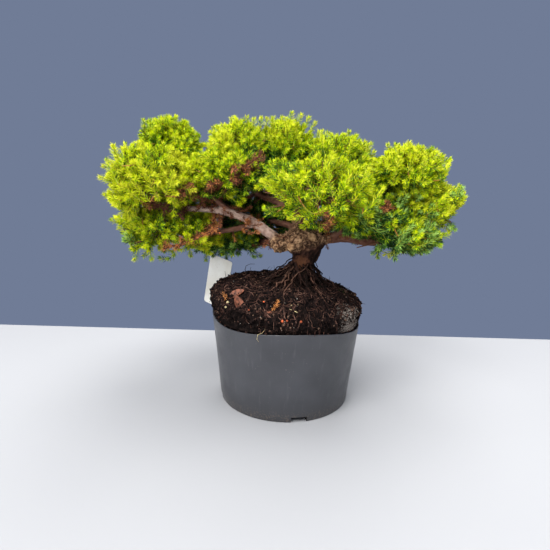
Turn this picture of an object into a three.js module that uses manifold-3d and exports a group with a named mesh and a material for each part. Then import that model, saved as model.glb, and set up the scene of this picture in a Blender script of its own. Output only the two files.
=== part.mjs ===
// A juniper bonsai in training, standing in a cut-down nursery pot.
// Millimetres, +Z up. The origin is the middle of the pot's flat underside,
// and -Y is the side that the tree shows to its viewer.

import * as THREE from "three";
import { mergeVertices } from "three/addons/utils/BufferGeometryUtils.js";
import Module from "manifold-3d";

const wasm = await Module();
wasm.setup();

// Clear gap between neighbouring pieces, and the slightly wider one that faceted cuts need
const GAP = 0.3;
const CUT_GAP = 0.4;

// Pot: a thin conical nursery pot whose rim was cut off by hand, with slots round its foot.
// Angles are in radians, counted from +X towards +Y.
const POT = {
  baseRadius: 75.5,
  slope: 0.105,
  wall: 1.6,
  floor: 2.4,
  rimMean: 98.3,
  rimTilt: 3,
  rimLowTowards: 0.25,
  rimWave: 3.3,
  rimWaves: 3,
  rimWavePhase: -0.63,
  sides: 48,
  slots: 4,
  slotWidth: 17,
  slotHeight: 6,
  slotDepth: 13,
  firstSlotAngle: -1.36,
};

// Root ball: it keeps the cone of the uncut pot and stands proud of the cut rim
const SOIL = {
  plateau: 136,
  plateauRadius: 36,
  edgeMean: 122,
  edgeTilt: 7,
  highTowards: 2.6,
  shoulder: 1.9,
  hump: 5,
  lip: 0.8,
  bulge: 3,
  bulgeRise: [2, 14],
  bulgeAtEdge: 0.6,
  sides: 40,
  rings: 4,
};

// Trunk: short and stout, from a flat cut on the soil to the burl where the boughs part
const TRUNK = {
  axis: [[9, 0, 130], [11, 0, 142], [15, 0, 156], [20, 0, 170], [22, 0, 188]],
  ground: SOIL.plateau + GAP,
  radii: [3.5, 20.5],
  flare: 10,
  flareHeight: 6,
  buttresses: 5,
  buttressShare: 0.16,
  sides: 15,
  steps: 8,
};

// Burl: old pruning wounds healed into one gnarled head of rough knobs
const BURL = {
  middle: { centre: [17, 0, 187], radii: [25, 20, 14], seed: 0 },
  left: { centre: [-9, -4, 182], radii: [12, 12, 11], seed: 2.3 },
  front: { centre: [8, -10, 181], radii: [13, 11, 11], seed: 4.6 },
  right: { centre: [32, -2, 188], radii: [12, 13, 12], seed: 6.9 },
  top: { centre: [15, 3, 197], radii: [11, 11, 9], seed: 9.2 },
};
const BURL_ROUGHNESS = 0.12;

// Boughs: each is one tapering limb. It starts on the axis of the limb that bears it, at a share
// of that limb's length, or in a knob of the burl, and passes through its own points to its tip.
const BOUGH_SIDES = 6;
const BOUGH_STEP = 16;
const BOUGHS = [
  {
    name: "left_bough",
    from: "trunk",
    at: "left",
    radii: [6.2, 2.7],
    through: [[-18, -5, 190], [-44, -9, 208], [-80, -15, 218], [-112, -19, 219]],
  },
  {
    name: "left_rising_bough",
    from: "left_bough",
    at: 0.65,
    radii: [3.2, 2.4],
    through: [[-88, -4, 238], [-106, 9, 261], [-118, 16, 273]],
  },
  {
    name: "left_low_bough",
    from: "left_bough",
    at: 0.31,
    radii: [3.4, 2.4],
    through: [[-56, -4, 198], [-78, 0, 193], [-92, 2, 191]],
  },
  {
    name: "left_inner_bough",
    from: "left_bough",
    at: 0.5,
    radii: [3, 2.2],
    through: [[-74, -18, 224], [-86, -18, 234]],
  },
  {
    name: "left_back_bough",
    from: "left_bough",
    at: 0.45,
    radii: [4.6, 3],
    through: [[-66, 20, 214], [-84, 48, 222], [-96, 62, 228]],
  },
  {
    name: "leader_bough",
    from: "trunk",
    at: "top",
    radii: [8, 6],
    through: [[10, 6, 208], [5, 8, 222]],
  },
  {
    name: "upper_left_bough",
    from: "leader_bough",
    at: 0.77,
    radii: [4.6, 3],
    through: [[-14, 14, 228], [-36, 20, 236], [-48, 25, 250], [-48, 28, 267]],
  },
  {
    name: "centre_left_bough",
    from: "upper_left_bough",
    at: 0.5,
    radii: [3.2, 2.4],
    through: [[-42, 6, 240], [-50, -2, 246]],
  },
  {
    name: "apex_bough",
    from: "leader_bough",
    at: 0.88,
    radii: [4.4, 2.8],
    through: [[7, 14, 244], [4, 21, 268], [4, 24, 282]],
  },
  {
    name: "upper_right_bough",
    from: "leader_bough",
    at: 0.8,
    radii: [5, 3.4],
    through: [[24, 16, 234], [38, 22, 254]],
  },
  {
    name: "back_bough",
    from: "leader_bough",
    at: 0.57,
    radii: [5, 3.4],
    through: [[3, 34, 226], [-4, 56, 241], [-8, 68, 250]],
  },
  {
    name: "front_bough",
    from: "leader_bough",
    at: 0.45,
    radii: [4.6, 3.2],
    through: [[20, -10, 218], [27, -24, 226], [30, -32, 231]],
  },
  {
    name: "right_bough",
    from: "trunk",
    at: "right",
    radii: [7, 4.6],
    through: [[64, -3, 191], [82, -6, 188], [98, -9, 187]],
  },
  {
    name: "right_rising_bough",
    from: "right_bough",
    at: 0.4,
    radii: [4.8, 3],
    through: [[78, 3, 212], [94, 5, 232], [106, 4, 244]],
  },
  {
    name: "right_outer_bough",
    from: "right_rising_bough",
    at: 0.42,
    radii: [3.6, 2.8],
    through: [[94, 7, 220], [108, 9, 223]],
  },
  {
    name: "right_back_bough",
    from: "trunk",
    at: "right",
    radii: [5.4, 3.2],
    through: [[54, 26, 205], [68, 46, 218], [77, 54, 224]],
  },
  {
    name: "right_front_bough",
    from: "right_bough",
    at: 0.25,
    radii: [3.8, 2.6],
    through: [[58, -16, 200], [62, -28, 206]],
  },
  {
    name: "low_back_bough",
    from: "trunk",
    at: "left",
    radii: [4.4, 2.8],
    through: [[-18, 24, 181], [-36, 39, 177]],
  },
  {
    name: "inner_back_bough",
    from: "trunk",
    at: "top",
    radii: [4.2, 2.8],
    through: [[-6, 20, 202], [-24, 36, 205]],
  },
];

// Foliage masses: the space of each is an ellipsoid, as [centre, half sizes]
const MASSES = [
  { name: "left_outer_foliage", bough: "left_bough", space: [[-151, -24, 251], [49, 46, 38]] },
  { name: "left_top_foliage", bough: "left_rising_bough", space: [[-142, 26, 294], [35, 42, 29]] },
  { name: "left_low_foliage", bough: "left_low_bough", space: [[-141, 2, 195], [54, 46, 40]] },
  { name: "left_inner_foliage", bough: "left_inner_bough", space: [[-104, -6, 248], [38, 38, 32]] },
  { name: "left_back_foliage", bough: "left_back_bough", space: [[-130, 84, 238], [52, 46, 46]] },
  { name: "centre_left_foliage", bough: "centre_left_bough", space: [[-70, -12, 257], [40, 38, 31]] },
  { name: "centre_top_foliage", bough: "upper_left_bough", space: [[-51, 28, 293], [48, 48, 32]] },
  { name: "apex_foliage", bough: "apex_bough", space: [[-10, 26, 301], [31, 34, 29]] },
  { name: "centre_back_foliage", bough: "back_bough", space: [[-22, 100, 252], [64, 48, 52]] },
  { name: "inner_back_foliage", bough: "inner_back_bough", space: [[-44, 62, 204], [58, 38, 31]] },
  { name: "right_top_foliage", bough: "upper_right_bough", space: [[53, 30, 277], [52, 50, 34]] },
  { name: "front_foliage", bough: "front_bough", space: [[32, -58, 239], [62, 44, 38]] },
  { name: "right_front_foliage", bough: "right_front_bough", space: [[72, -44, 220], [46, 40, 25]] },
  { name: "right_upper_foliage", bough: "right_rising_bough", space: [[131, 0, 264], [47, 48, 35]] },
  { name: "right_outer_foliage", bough: "right_outer_bough", space: [[151, 4, 234], [45, 48, 32]] },
  { name: "right_low_foliage", bough: "right_bough", space: [[116, -25, 197], [49, 42, 33]] },
  { name: "right_back_foliage", bough: "right_back_bough", space: [[104, 86, 236], [60, 50, 46]] },
  { name: "low_back_foliage", bough: "low_back_bough", space: [[-76, 52, 176], [37, 32, 18]] },
];

// Foliage rule: a stem runs into a small core, and sprays of needles stand out of it.
// Shares are of the distance from the middle of the space to its surface.
const FOLIAGE = {
  seed: 11,
  coreShare: 0.5,
  coreRoughness: 0.14,
  stemRadii: [2.8, 2],
  stemSides: 5,
  spraysPerMass: 14,
  lowestSpray: -0.72,
  rootShare: 0.3,
  reach: [0.9, 1],
  lift: 0.16,
  whorls: 3,
  shankShare: 0.3,
  twigRadii: [1.9, 1],
  needleShare: 0.32,
  needleTaper: 0.3,
  needleLean: 4,
  twist: 0.18,
  sizes: [1, 0.8, 0.6],
  spaceLimit: 1.04,
  cellMargin: 0.03,
  limbClearance: 2.5,
};

// Blank plant tag, pushed edge on into the root ball above the rim
const LABEL = {
  width: 36,
  height: 66,
  thickness: 0.8,
  corner: 3,
  centre: [-87.6, 50.6, 122],
  turn: -0.59,
  lean: 0.19,
};

const FINISHES = {
  pot: { color: "#5f6063", roughness: 0.6 },
  soil: { color: "#2c211b", roughness: 0.95 },
  label: { color: "#d9d5cd", roughness: 0.5 },
  trunk: { color: "#7a5640", roughness: 0.9 },
  bough: { color: "#9a7258", roughness: 0.85 },
  foliage: [
    { color: "#7fa022", roughness: 0.7 },
    { color: "#94ad2a", roughness: 0.7 },
    { color: "#688f2c", roughness: 0.7 },
  ],
};

const GOLDEN_ANGLE = Math.PI * (3 - Math.sqrt(5));

const vec = (p) => new THREE.Vector3(...p);
const smoothPath = (points) => new THREE.CatmullRomCurve3(points, false, "centripetal");
const between = ([start, end], share) => start + (end - start) * share;

// Small seeded random source: numbers from 0 to 1
function seeded(seed) {
  let state = seed >>> 0;
  return () => {
    state = (Math.imul(state, 1664525) + 1013904223) >>> 0;
    return state / 2 ** 32;
  };
}

// Smooth bump for a point of an uneven surface, between -1 and 1
function unevenness(p, seed) {
  const a = Math.sin(p.x * 3.1 + seed) * Math.cos(p.y * 2.7 - seed * 1.7);
  const b = Math.sin(p.z * 3.7 + seed * 0.6 + p.x * 1.9);
  return 0.6 * a + 0.4 * b;
}

// Solids: closed geometry to a solid that can be joined and cut, and back

function solidOf(geometry) {
  const bare = geometry.clone();
  bare.deleteAttribute("normal");
  bare.deleteAttribute("uv");
  const merged = mergeVertices(bare, 1e-4);
  return new wasm.Manifold(
    new wasm.Mesh({
      numProp: 3,
      vertProperties: Float32Array.from(merged.attributes.position.array),
      triVerts: Uint32Array.from(merged.index.array),
    }),
  );
}

function geometryOf(solid) {
  const mesh = solid.getMesh();
  const geometry = new THREE.BufferGeometry();
  geometry.setAttribute("position", new THREE.BufferAttribute(mesh.vertProperties, 3));
  geometry.setIndex(new THREE.BufferAttribute(mesh.triVerts, 1));
  geometry.computeVertexNormals();
  return geometry;
}

const join = (solids) => solids.reduce((whole, solid) => whole.add(solid));

// Cutting can leave loose scraps: the largest piece is the part
function largestPiece(solid) {
  const pieces = solid.decompose();
  return pieces.reduce((best, piece) => (piece.volume() > best.volume() ? piece : best));
}

function cornersOf(geometry) {
  const points = geometry.attributes.position;
  return Array.from({ length: points.count }, (_, i) => {
    return new THREE.Vector3().fromBufferAttribute(points, i);
  });
}

// Moves every corner of a geometry to where place puts it
function reshape(geometry, place) {
  cornersOf(geometry).forEach((corner, i) => {
    geometry.attributes.position.setXYZ(i, ...place(corner).toArray());
  });
  return geometry;
}

// A closed tube whose corners are placed by height share, angle and distance from its axis
function tube(sides, steps, place) {
  return reshape(new THREE.CylinderGeometry(1, 1, 1, sides, steps), (corner) => {
    const angle = Math.atan2(corner.z, corner.x);
    const rim = Math.hypot(corner.x, corner.z);
    return place(corner.y + 0.5, angle, rim);
  });
}

// A limb of round section along a curve, with its radius given by height share and angle
function limbGeometry(curve, sides, steps, radiusAt) {
  const frames = curve.computeFrenetFrames(steps);
  return tube(sides, steps, (height, angle, rim) => {
    const step = Math.round(height * steps);
    const normal = frames.normals[step];
    const side = normal.clone().cross(frames.tangents[step]);
    const reach = rim * radiusAt(height, angle);
    return curve
      .getPointAt(height)
      .addScaledVector(normal, reach * Math.cos(angle))
      .addScaledVector(side, reach * Math.sin(angle));
  });
}

// A rough ball: an icosahedron pushed in and out by a smooth bump
function lumpGeometry(centre, radii, roughness, seed) {
  return reshape(new THREE.IcosahedronGeometry(1, 1), (corner) => {
    const swell = 1 + roughness * unevenness(corner, seed);
    return corner.multiplyScalar(swell).multiply(vec(radii)).add(vec(centre));
  });
}

// Limbs: grow widens a limb evenly, for cutting its neighbours clear of it

const curves = new Map();
curves.set("trunk", smoothPath(TRUNK.axis.map(vec)));
for (const bough of BOUGHS) {
  const inBurl = bough.from === "trunk";
  const start = inBurl ? vec(BURL[bough.at].centre) : curves.get(bough.from).getPointAt(bough.at);
  curves.set(bough.name, smoothPath([start, ...bough.through.map(vec)]));
}

// Trunk: flared foot with root buttresses, cut flat at the ground and fused with the burl
function trunkSolid(grow) {
  const curve = curves.get("trunk");
  const spread = (height) => {
    const rise = Math.max(0, curve.getPointAt(height).z - TRUNK.ground);
    return Math.exp(-rise / TRUNK.flareHeight);
  };
  const foot = limbGeometry(curve, TRUNK.sides, TRUNK.steps, (height, angle) => {
    const lobes = 1 + TRUNK.buttressShare * spread(height) * Math.cos(TRUNK.buttresses * angle);
    return (between(TRUNK.radii, height) + TRUNK.flare * spread(height)) * lobes + grow;
  });
  const size = 4 * (TRUNK.radii[1] + TRUNK.flare);
  const below = new THREE.BoxGeometry(size, size, size);
  below.translate(TRUNK.axis[0][0], TRUNK.axis[0][1], TRUNK.ground - grow - size / 2);
  const knobs = Object.values(BURL).map((knob) => {
    const radii = knob.radii.map((radius) => radius + grow);
    return solidOf(lumpGeometry(knob.centre, radii, BURL_ROUGHNESS, knob.seed));
  });
  return join([solidOf(foot).subtract(solidOf(below)), ...knobs]);
}

function boughSolid(bough, grow) {
  const points = curves.get(bough.name).points.map((p) => p.clone());
  const tip = points.at(-1);
  tip.addScaledVector(tip.clone().sub(points.at(-2)).normalize(), grow);
  const curve = smoothPath(points);
  const steps = Math.ceil(curve.getLength() / BOUGH_STEP);
  const radiusAt = (height) => between(bough.radii, height) + grow;
  return solidOf(limbGeometry(curve, BOUGH_SIDES, steps, radiusAt));
}

// Every limb twice: its full shape, and the wider shape that its neighbours are cut with
const limbs = new Map();
limbs.set("trunk", { full: trunkSolid(0), cutter: trunkSolid(CUT_GAP) });
for (const bough of BOUGHS) {
  limbs.set(bough.name, { full: boughSolid(bough, 0), cutter: boughSolid(bough, CUT_GAP) });
}

// A bough is cut clear of every limb listed before it, so it meets the one that bears it
function boughPiece(bough) {
  let solid = limbs.get(bough.name).full;
  for (const [name, limb] of limbs) {
    if (name === bough.name) {
      break;
    }
    solid = solid.subtract(limb.cutter);
  }
  return largestPiece(solid);
}

// Balls along all limbs, for keeping sprays off them
function limbBalls() {
  const samples = 24;
  const shares = Array.from({ length: samples + 1 }, (_, k) => k / samples);
  const along = (name, radiusAt) => {
    return shares.map((share) => ({
      centre: curves.get(name).getPointAt(share),
      radius: radiusAt(share),
    }));
  };
  const knobs = Object.values(BURL).map((knob) => ({
    centre: vec(knob.centre),
    radius: Math.max(...knob.radii),
  }));
  const boughs = BOUGHS.map((bough) => along(bough.name, (share) => between(bough.radii, share)));
  return [...knobs, ...along("trunk", (share) => between(TRUNK.radii, share)), ...boughs.flat()];
}

const LIMB_BALLS = limbBalls();

const clearOfLimbs = (p) =>
  LIMB_BALLS.every((ball) => p.distanceTo(ball.centre) > ball.radius + FOLIAGE.limbClearance);

// Foliage

// How far out in a mass's space a point lies: 0 in its middle, 1 on its surface
function depthIn([centre, half], p) {
  return p.clone().sub(vec(centre)).divide(vec(half)).length();
}

// A point belongs to a mass when it lies deeper in that mass's space than in any other's
function belongsTo(mass, p) {
  const depth = depthIn(mass.space, p);
  const nearer = (other) => depthIn(other.space, p) < depth + FOLIAGE.cellMargin;
  return depth < FOLIAGE.spaceLimit && !MASSES.some((other) => other !== mass && nearer(other));
}

const pointIn = ([centre, half], direction, share) =>
  direction.clone().multiplyScalar(share).multiply(vec(half)).add(vec(centre));

// Directions spread by the golden angle, from straight up to the lowest spray, so that the
// spray half way down points outwards from the tree
function sprayDirection(k, outwards) {
  const span = 1 - FOLIAGE.lowestSpray;
  const z = 1 - (span * (k + 0.5)) / FOLIAGE.spraysPerMass;
  const level = Math.round(FOLIAGE.spraysPerMass / span);
  const angle = outwards + (k - level) * GOLDEN_ANGLE;
  const flat = Math.sqrt(1 - z * z);
  return new THREE.Vector3(flat * Math.cos(angle), flat * Math.sin(angle), z);
}

// A spray of needles: a slim three-sided twig with whorls of three needles standing out of it.
// Its rings are the root, then a ring of the twig and a ring of needle tips for each whorl,
// and last the point at its end.
function sprayGeometry(root, tip, needleReach, turn) {
  const path = new THREE.LineCurve3(root, tip);
  const length = path.getLength();
  const { normals, binormals, tangents } = path.computeFrenetFrames(1);
  const end = 2 * FOLIAGE.whorls + 1;
  return tube(3, end, (height, angle, rim) => {
    const ring = Math.round(height * end);
    const whorl = (ring - 1) / (end - 1);
    let reach = between(FOLIAGE.twigRadii, height);
    let along = ring === 0 ? 0 : length * between([FOLIAGE.shankShare, 1], whorl);
    if (ring === end) {
      reach = 0;
    } else if (ring > 0 && ring % 2 === 0) {
      reach = needleReach * (1 - FOLIAGE.needleTaper * whorl);
      along = Math.min(along + FOLIAGE.needleLean, length);
    }
    const swing = angle + turn + ring * (Math.PI / 3 + FOLIAGE.twist);
    return root
      .clone()
      .addScaledVector(tangents[0], along)
      .addScaledVector(normals[0], rim * reach * Math.cos(swing))
      .addScaledVector(binormals[0], -rim * reach * Math.sin(swing));
  });
}

// Core of a mass: a rough lump in the middle of its space, drawn in where a neighbour is near
function coreSolid(mass, seed) {
  const [centre, half] = mass.space;
  const radii = half.map((size) => size * FOLIAGE.coreShare);
  const rough = lumpGeometry(centre, radii, FOLIAGE.coreRoughness, seed);
  const drawIn = 0.1;
  const core = reshape(rough, (corner) => {
    while (!belongsTo(mass, corner)) {
      corner.lerp(vec(centre), drawIn);
    }
    return corner;
  });
  return solidOf(core);
}

function stemSolid(mass) {
  const boughTip = curves.get(mass.bough).getPointAt(1);
  const path = new THREE.LineCurve3(boughTip, vec(mass.space[0]));
  return solidOf(
    limbGeometry(path, FOLIAGE.stemSides, 1, (height) => between(FOLIAGE.stemRadii, height)),
  );
}

// The sprays of one mass: each takes the largest size at which it stays in the mass's space and
// off the limbs, and is skipped when none does
function spraySolids(mass, random) {
  const [centre, half] = mass.space;
  const needleReach = (FOLIAGE.needleShare * (half[0] + half[1] + half[2])) / 3;
  const outwards = Math.atan2(centre[1], centre[0]);
  const fits = (spray) => cornersOf(spray).every((p) => belongsTo(mass, p) && clearOfLimbs(p));
  const sprays = [];
  for (let k = 0; k < FOLIAGE.spraysPerMass; k += 1) {
    const direction = sprayDirection(k, outwards);
    const tip = pointIn(mass.space, direction, between(FOLIAGE.reach, random()));
    const turn = random() * Math.PI;
    const lowered = direction.clone();
    lowered.z -= FOLIAGE.lift;
    const root = pointIn(mass.space, lowered, FOLIAGE.rootShare);
    const spray = FOLIAGE.sizes
      .map((size) => {
        const end = tip.clone().lerp(root, (1 - size) / 2);
        return sprayGeometry(root, end, needleReach * size, turn);
      })
      .find(fits);
    if (spray) {
      sprays.push(solidOf(spray));
    }
  }
  return sprays;
}

// One foliage mass, fused and cut clear of every limb
function foliageSolid(mass, index) {
  const random = seeded(FOLIAGE.seed * (index + 1));
  let solid = join([coreSolid(mass, index), stemSolid(mass), ...spraySolids(mass, random)]);
  for (const limb of limbs.values()) {
    solid = solid.subtract(limb.cutter);
  }
  return largestPiece(solid);
}

// Pot, root ball and tag

const wallRadius = (z) => POT.baseRadius + POT.slope * z;
const innerRadius = (z) => wallRadius(z) - POT.wall;

// Height of the cut rim round the pot: it leans, with a slight wave
function rimHeight(angle) {
  const tilt = POT.rimTilt * Math.cos(angle - POT.rimLowTowards);
  return POT.rimMean - tilt + POT.rimWave * Math.sin(POT.rimWaves * angle + POT.rimWavePhase);
}

function potSolid() {
  const profile = [
    [0, 0],
    [POT.baseRadius, 0],
    [wallRadius(POT.rimMean), POT.rimMean],
    [innerRadius(POT.rimMean), POT.rimMean],
    [innerRadius(POT.floor), POT.floor],
    [0, POT.floor],
  ].map(([r, z]) => new THREE.Vector2(r, z));
  const shell = new THREE.LatheGeometry(profile, POT.sides).rotateX(Math.PI / 2);
  reshape(shell, (corner) => {
    if (corner.z > POT.rimMean / 2) {
      const rim = rimHeight(Math.atan2(corner.y, corner.x));
      const spread = wallRadius(rim) / wallRadius(POT.rimMean);
      corner.set(corner.x * spread, corner.y * spread, rim);
    }
    return corner;
  });
  let solid = solidOf(shell);
  for (let k = 0; k < POT.slots; k += 1) {
    const slot = new THREE.BoxGeometry(POT.slotDepth, POT.slotWidth, 2 * POT.slotHeight);
    slot.translate(POT.baseRadius, 0, 0);
    slot.rotateZ(POT.firstSlotAngle + (k * 2 * Math.PI) / POT.slots);
    solid = solid.subtract(solidOf(slot));
  }
  return solid;
}

// Soil surface: level round the trunk, falling to an edge that is highest behind on the left.
// The share runs from 0 at the level middle to 1 at the edge.
function soilHeight(angle, share) {
  const towards = Math.cos(angle - SOIL.highTowards);
  const edge = SOIL.edgeMean + SOIL.edgeTilt * towards;
  const hump = SOIL.hump * Math.max(0, towards) * Math.sin(Math.PI * share);
  return SOIL.plateau - (SOIL.plateau - edge) * share ** SOIL.shoulder + hump;
}

// The root ball's rows of [radius, height], from its underside up its side and over its top
function soilRows(angle) {
  const inner = (z) => innerRadius(z) - GAP;
  const bottom = POT.floor + GAP;
  const edge = soilHeight(angle, 1);
  const lip = Math.min(rimHeight(angle) + SOIL.lip, edge - 2 * SOIL.lip);
  const bulge = SOIL.bulge * THREE.MathUtils.smoothstep(edge - lip, ...SOIL.bulgeRise);
  const rows = [
    [inner(bottom), bottom],
    [inner(lip), lip],
    [inner(lip) + bulge, (lip + edge) / 2],
  ];
  for (let k = 0; k <= SOIL.rings; k += 1) {
    const share = 1 - k / SOIL.rings;
    const outer = inner(edge) + bulge * SOIL.bulgeAtEdge;
    rows.push([between([SOIL.plateauRadius, outer], share), soilHeight(angle, share)]);
  }
  return rows;
}

function soilSolid() {
  const last = soilRows(0).length - 1;
  const ball = tube(SOIL.sides, last, (height, angle, rim) => {
    const [radius, z] = soilRows(-angle)[Math.round(height * last)];
    return new THREE.Vector3(radius * rim * Math.cos(angle), -radius * rim * Math.sin(angle), z);
  });
  return solidOf(ball).subtract(labelSolid(GAP));
}

// Tag: a thin plate with rounded corners; grow gives the slit that it sits in
function labelSolid(grow) {
  const corner = LABEL.corner;
  const right = LABEL.width / 2 + grow - corner;
  const top = LABEL.height / 2 + grow - corner;
  const outline = new THREE.Shape();
  outline.absarc(right, -top, corner, -Math.PI / 2, 0, false);
  outline.absarc(right, top, corner, 0, Math.PI / 2, false);
  outline.absarc(-right, top, corner, Math.PI / 2, Math.PI, false);
  outline.absarc(-right, -top, corner, Math.PI, Math.PI * 1.5, false);
  const depth = LABEL.thickness + 2 * grow;
  const plate = new THREE.ExtrudeGeometry(outline, { depth, bevelEnabled: false, curveSegments: 4 });
  plate.translate(0, 0, -depth / 2);
  plate.rotateX(Math.PI / 2);
  plate.rotateY(LABEL.lean);
  plate.rotateZ(LABEL.turn);
  plate.translate(...LABEL.centre);
  return solidOf(plate);
}

const tree = new THREE.Group();

function addPart(name, solid, finish) {
  const mesh = new THREE.Mesh(geometryOf(solid), new THREE.MeshStandardMaterial(finish));
  mesh.name = name;
  tree.add(mesh);
}

addPart("pot", potSolid(), FINISHES.pot);
addPart("soil", soilSolid(), FINISHES.soil);
addPart("plant_label", labelSolid(0), FINISHES.label);
addPart("trunk", limbs.get("trunk").full, FINISHES.trunk);
BOUGHS.forEach((bough) => addPart(bough.name, boughPiece(bough), FINISHES.bough));
MASSES.forEach((mass, index) => {
  addPart(mass.name, foliageSolid(mass, index), FINISHES.foliage[index % FINISHES.foliage.length]);
});

export default tree;
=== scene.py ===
"""Looks of a juniper bonsai in a cut-down nursery pot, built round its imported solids.

Metres, +Z up, in the frame of the solids: the origin is the middle of the pot's underside.
"""

import math

import bmesh
import bpy
import numpy as np
from mathutils import Matrix, Vector, noise
from mathutils.bvhtree import BVHTree


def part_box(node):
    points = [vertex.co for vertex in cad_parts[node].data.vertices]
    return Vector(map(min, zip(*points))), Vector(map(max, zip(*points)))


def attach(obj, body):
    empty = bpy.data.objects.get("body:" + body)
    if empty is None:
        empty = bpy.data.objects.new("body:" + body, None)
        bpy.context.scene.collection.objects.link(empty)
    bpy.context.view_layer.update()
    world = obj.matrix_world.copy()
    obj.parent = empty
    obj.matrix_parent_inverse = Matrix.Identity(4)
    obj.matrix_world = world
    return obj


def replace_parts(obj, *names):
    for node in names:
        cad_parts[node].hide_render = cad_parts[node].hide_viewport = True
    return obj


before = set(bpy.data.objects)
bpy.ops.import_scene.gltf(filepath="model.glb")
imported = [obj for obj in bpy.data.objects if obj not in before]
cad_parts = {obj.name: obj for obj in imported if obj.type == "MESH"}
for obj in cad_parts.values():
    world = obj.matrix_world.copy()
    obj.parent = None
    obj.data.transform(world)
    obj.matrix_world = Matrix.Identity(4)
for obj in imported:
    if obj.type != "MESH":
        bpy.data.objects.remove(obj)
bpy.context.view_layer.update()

MM = 0.001
SEED = 11
GOLDEN_ANGLE = math.pi * (3 - math.sqrt(5))
UP = np.array([0.0, 0.0, 1.0])

# Camera, as the photograph has it: a square picture of 550 pixels
PHOTO_SIDE = 550
FOCAL_PIXELS = 440
SENSOR = 36
CAMERA_AT = np.array([-0.0144, -0.5, 0.2517])
CAMERA_PITCH = math.radians(12.13)
CAMERA_ROLL = math.radians(1.58)

# Limbs, and each foliage mass with the bough that bears it and the piece its needles go to
LIMBS = [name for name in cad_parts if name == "trunk" or name.endswith("_bough")]
MASSES = {
    "left_outer": ("left", "needles_left"),
    "left_top": ("left_rising", "needles_left"),
    "left_low": ("left_low", "needles_left"),
    "left_inner": ("left_inner", "needles_left"),
    "left_back": ("left_back", "needles_back"),
    "centre_left": ("centre_left", "needles_centre"),
    "centre_top": ("upper_left", "needles_centre"),
    "apex": ("apex", "needles_centre"),
    "centre_back": ("back", "needles_back"),
    "inner_back": ("inner_back", "needles_back"),
    "right_top": ("upper_right", "needles_centre"),
    "front": ("front", "needles_front"),
    "right_front": ("right_front", "needles_front"),
    "right_upper": ("right_rising", "needles_right"),
    "right_outer": ("right_outer", "needles_right"),
    "right_low": ("right", "needles_front"),
    "right_back": ("right_back", "needles_right"),
    "low_back": ("low_back", "needles_back"),
}

# Foliage rule, as in the solids: sprays spread by the golden angle in the space of each mass.
# Shares are of the distance from the middle of the space to its surface.
SPRAYS_PER_MASS = 14
LOWEST_SPRAY = -0.72
ROOT_SHARE = 0.3
REACH = (0.9, 1.0)
LIFT = 0.16
TIP_ROOM = 1.5 * MM
TOP_ROOM = 10 * MM
INWARD_GROWTH = 0.28
INWARD_SLOPE = 1.6
SPACE_DROP = 1.05
DEEP_SPACES = {"apex": 1.7, "centre_top": 1.3}
SPACE_SQUARENESS = 3.0

# Finer twigs: each spray fans out into branchlets, and each of those bears shoots
BRANCHLETS_PER_SPRAY = 8
BRANCHLET_START = (0.75, 0.05)
FAN_ANGLE = math.radians(33)
FAN_OFFSET = 0.35
FAN_SCATTER = 0.15
DOME = 0.26
UNEVEN_GRAIN = 30
UNEVEN_REACH = 0.13
REACH_VARIETY = (0.92, 1.02)
FLAT_TOP = 0.86
SIDE_SHOOTS = 3
SIDE_START = 0.3
SIDE_SPAN = 0.6
SIDE_SCATTER = 0.15
SHOOT_ANGLE = math.radians(42)
SHOOT_ANGLE_VARIETY = (0.7, 1.15)
SHOOT_SCATTER = 0.5
SHOOT_RISE = 0.26
SHOOT_LENGTH = (17 * MM, 10 * MM)
SHOOT_LENGTH_VARIETY = (0.8, 1.15)
END_SHOOT = 30 * MM
END_SHARE = 0.85
END_RISE = 2.4 * MM
SHOOT_BEND = 0.12
BURIED_DEPTH = 0.7
LIMB_CLEARANCE = 1.5 * MM

# Radii of the twigs, from base to tip, and how far they sag
STEM_RADII = np.linspace(2.7, 1.8, 5) * MM
STEM_BEND = 0.05
END_CORNERS = 6
SPRAY_RADII = np.array([1.6, 1.3, 0.9, 0.5]) * MM
BRANCHLET_RADII = np.array([0.75, 0.55, 0.35]) * MM
BRANCHLET_BEND = 0.06
SHOOT_RADII = np.array([0.5, 0.4, 0.25]) * MM

# A shoot: its line from base to tip, its level in the list of colours, whether it is blue-green,
# the distance between its whorls, the branchlet that bears it, and whether it is that one's tip
SHOOT = np.dtype([
    ("line", float, (2, 3)), ("level", float), ("blue", bool),
    ("internode", float), ("bearer", int), ("leading", bool),
])

# Needles stand in whorls of three
WHORL = 3
INTERNODE = 1.05 * MM
NEEDLE_LENGTH = 6.6 * MM
NEEDLE_LENGTH_VARIETY = (0.82, 1.12)
NEEDLE_WIDTH = 1.05 * MM
NEEDLE_FOLD = 0.4 * MM
NEEDLE_OPENING = (math.radians(62), math.radians(37))
NEEDLE_OPENING_VARIETY = (0.8, 1.15)
NEEDLE_SCATTER = 0.2
NEEDLE_WAIST = 0.42
NEEDLE_FACES = np.array([(0, 2, 1), (0, 1, 3)])
TIP_CROWDING = 1.5
TIP_SHORTENING = 0.34

# Colours are given as they look on a screen, from 0 to 255
LIVING_COLOURS = [
    (36, 70, 16), (66, 104, 22), (102, 140, 25), (137, 170, 15),
    (163, 187, 4), (184, 198, 4), (197, 204, 14), (203, 206, 46),
]
GLAUCOUS_COLOURS = [(34, 66, 26), (78, 116, 44), (124, 160, 64), (158, 190, 90)]
DEAD_COLOURS = [(92, 54, 36), (138, 84, 52), (188, 120, 66)]
DEAD_SHARES = [0.5, 0.35, 0.15]
TWIG_COLOURS = [(104, 70, 50), (158, 112, 50), (144, 150, 40)]

# Masses with blue-green sprays on their lower side, with the share of those sprays
GLAUCOUS_TOP = 0.45
GLAUCOUS_SHARES = {
    "right_low": 0.8, "right_front": 0.55, "right_outer": 0.4,
    "left_low": 0.1, "low_back": 0.9, "inner_back": 0.9,
}

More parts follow.
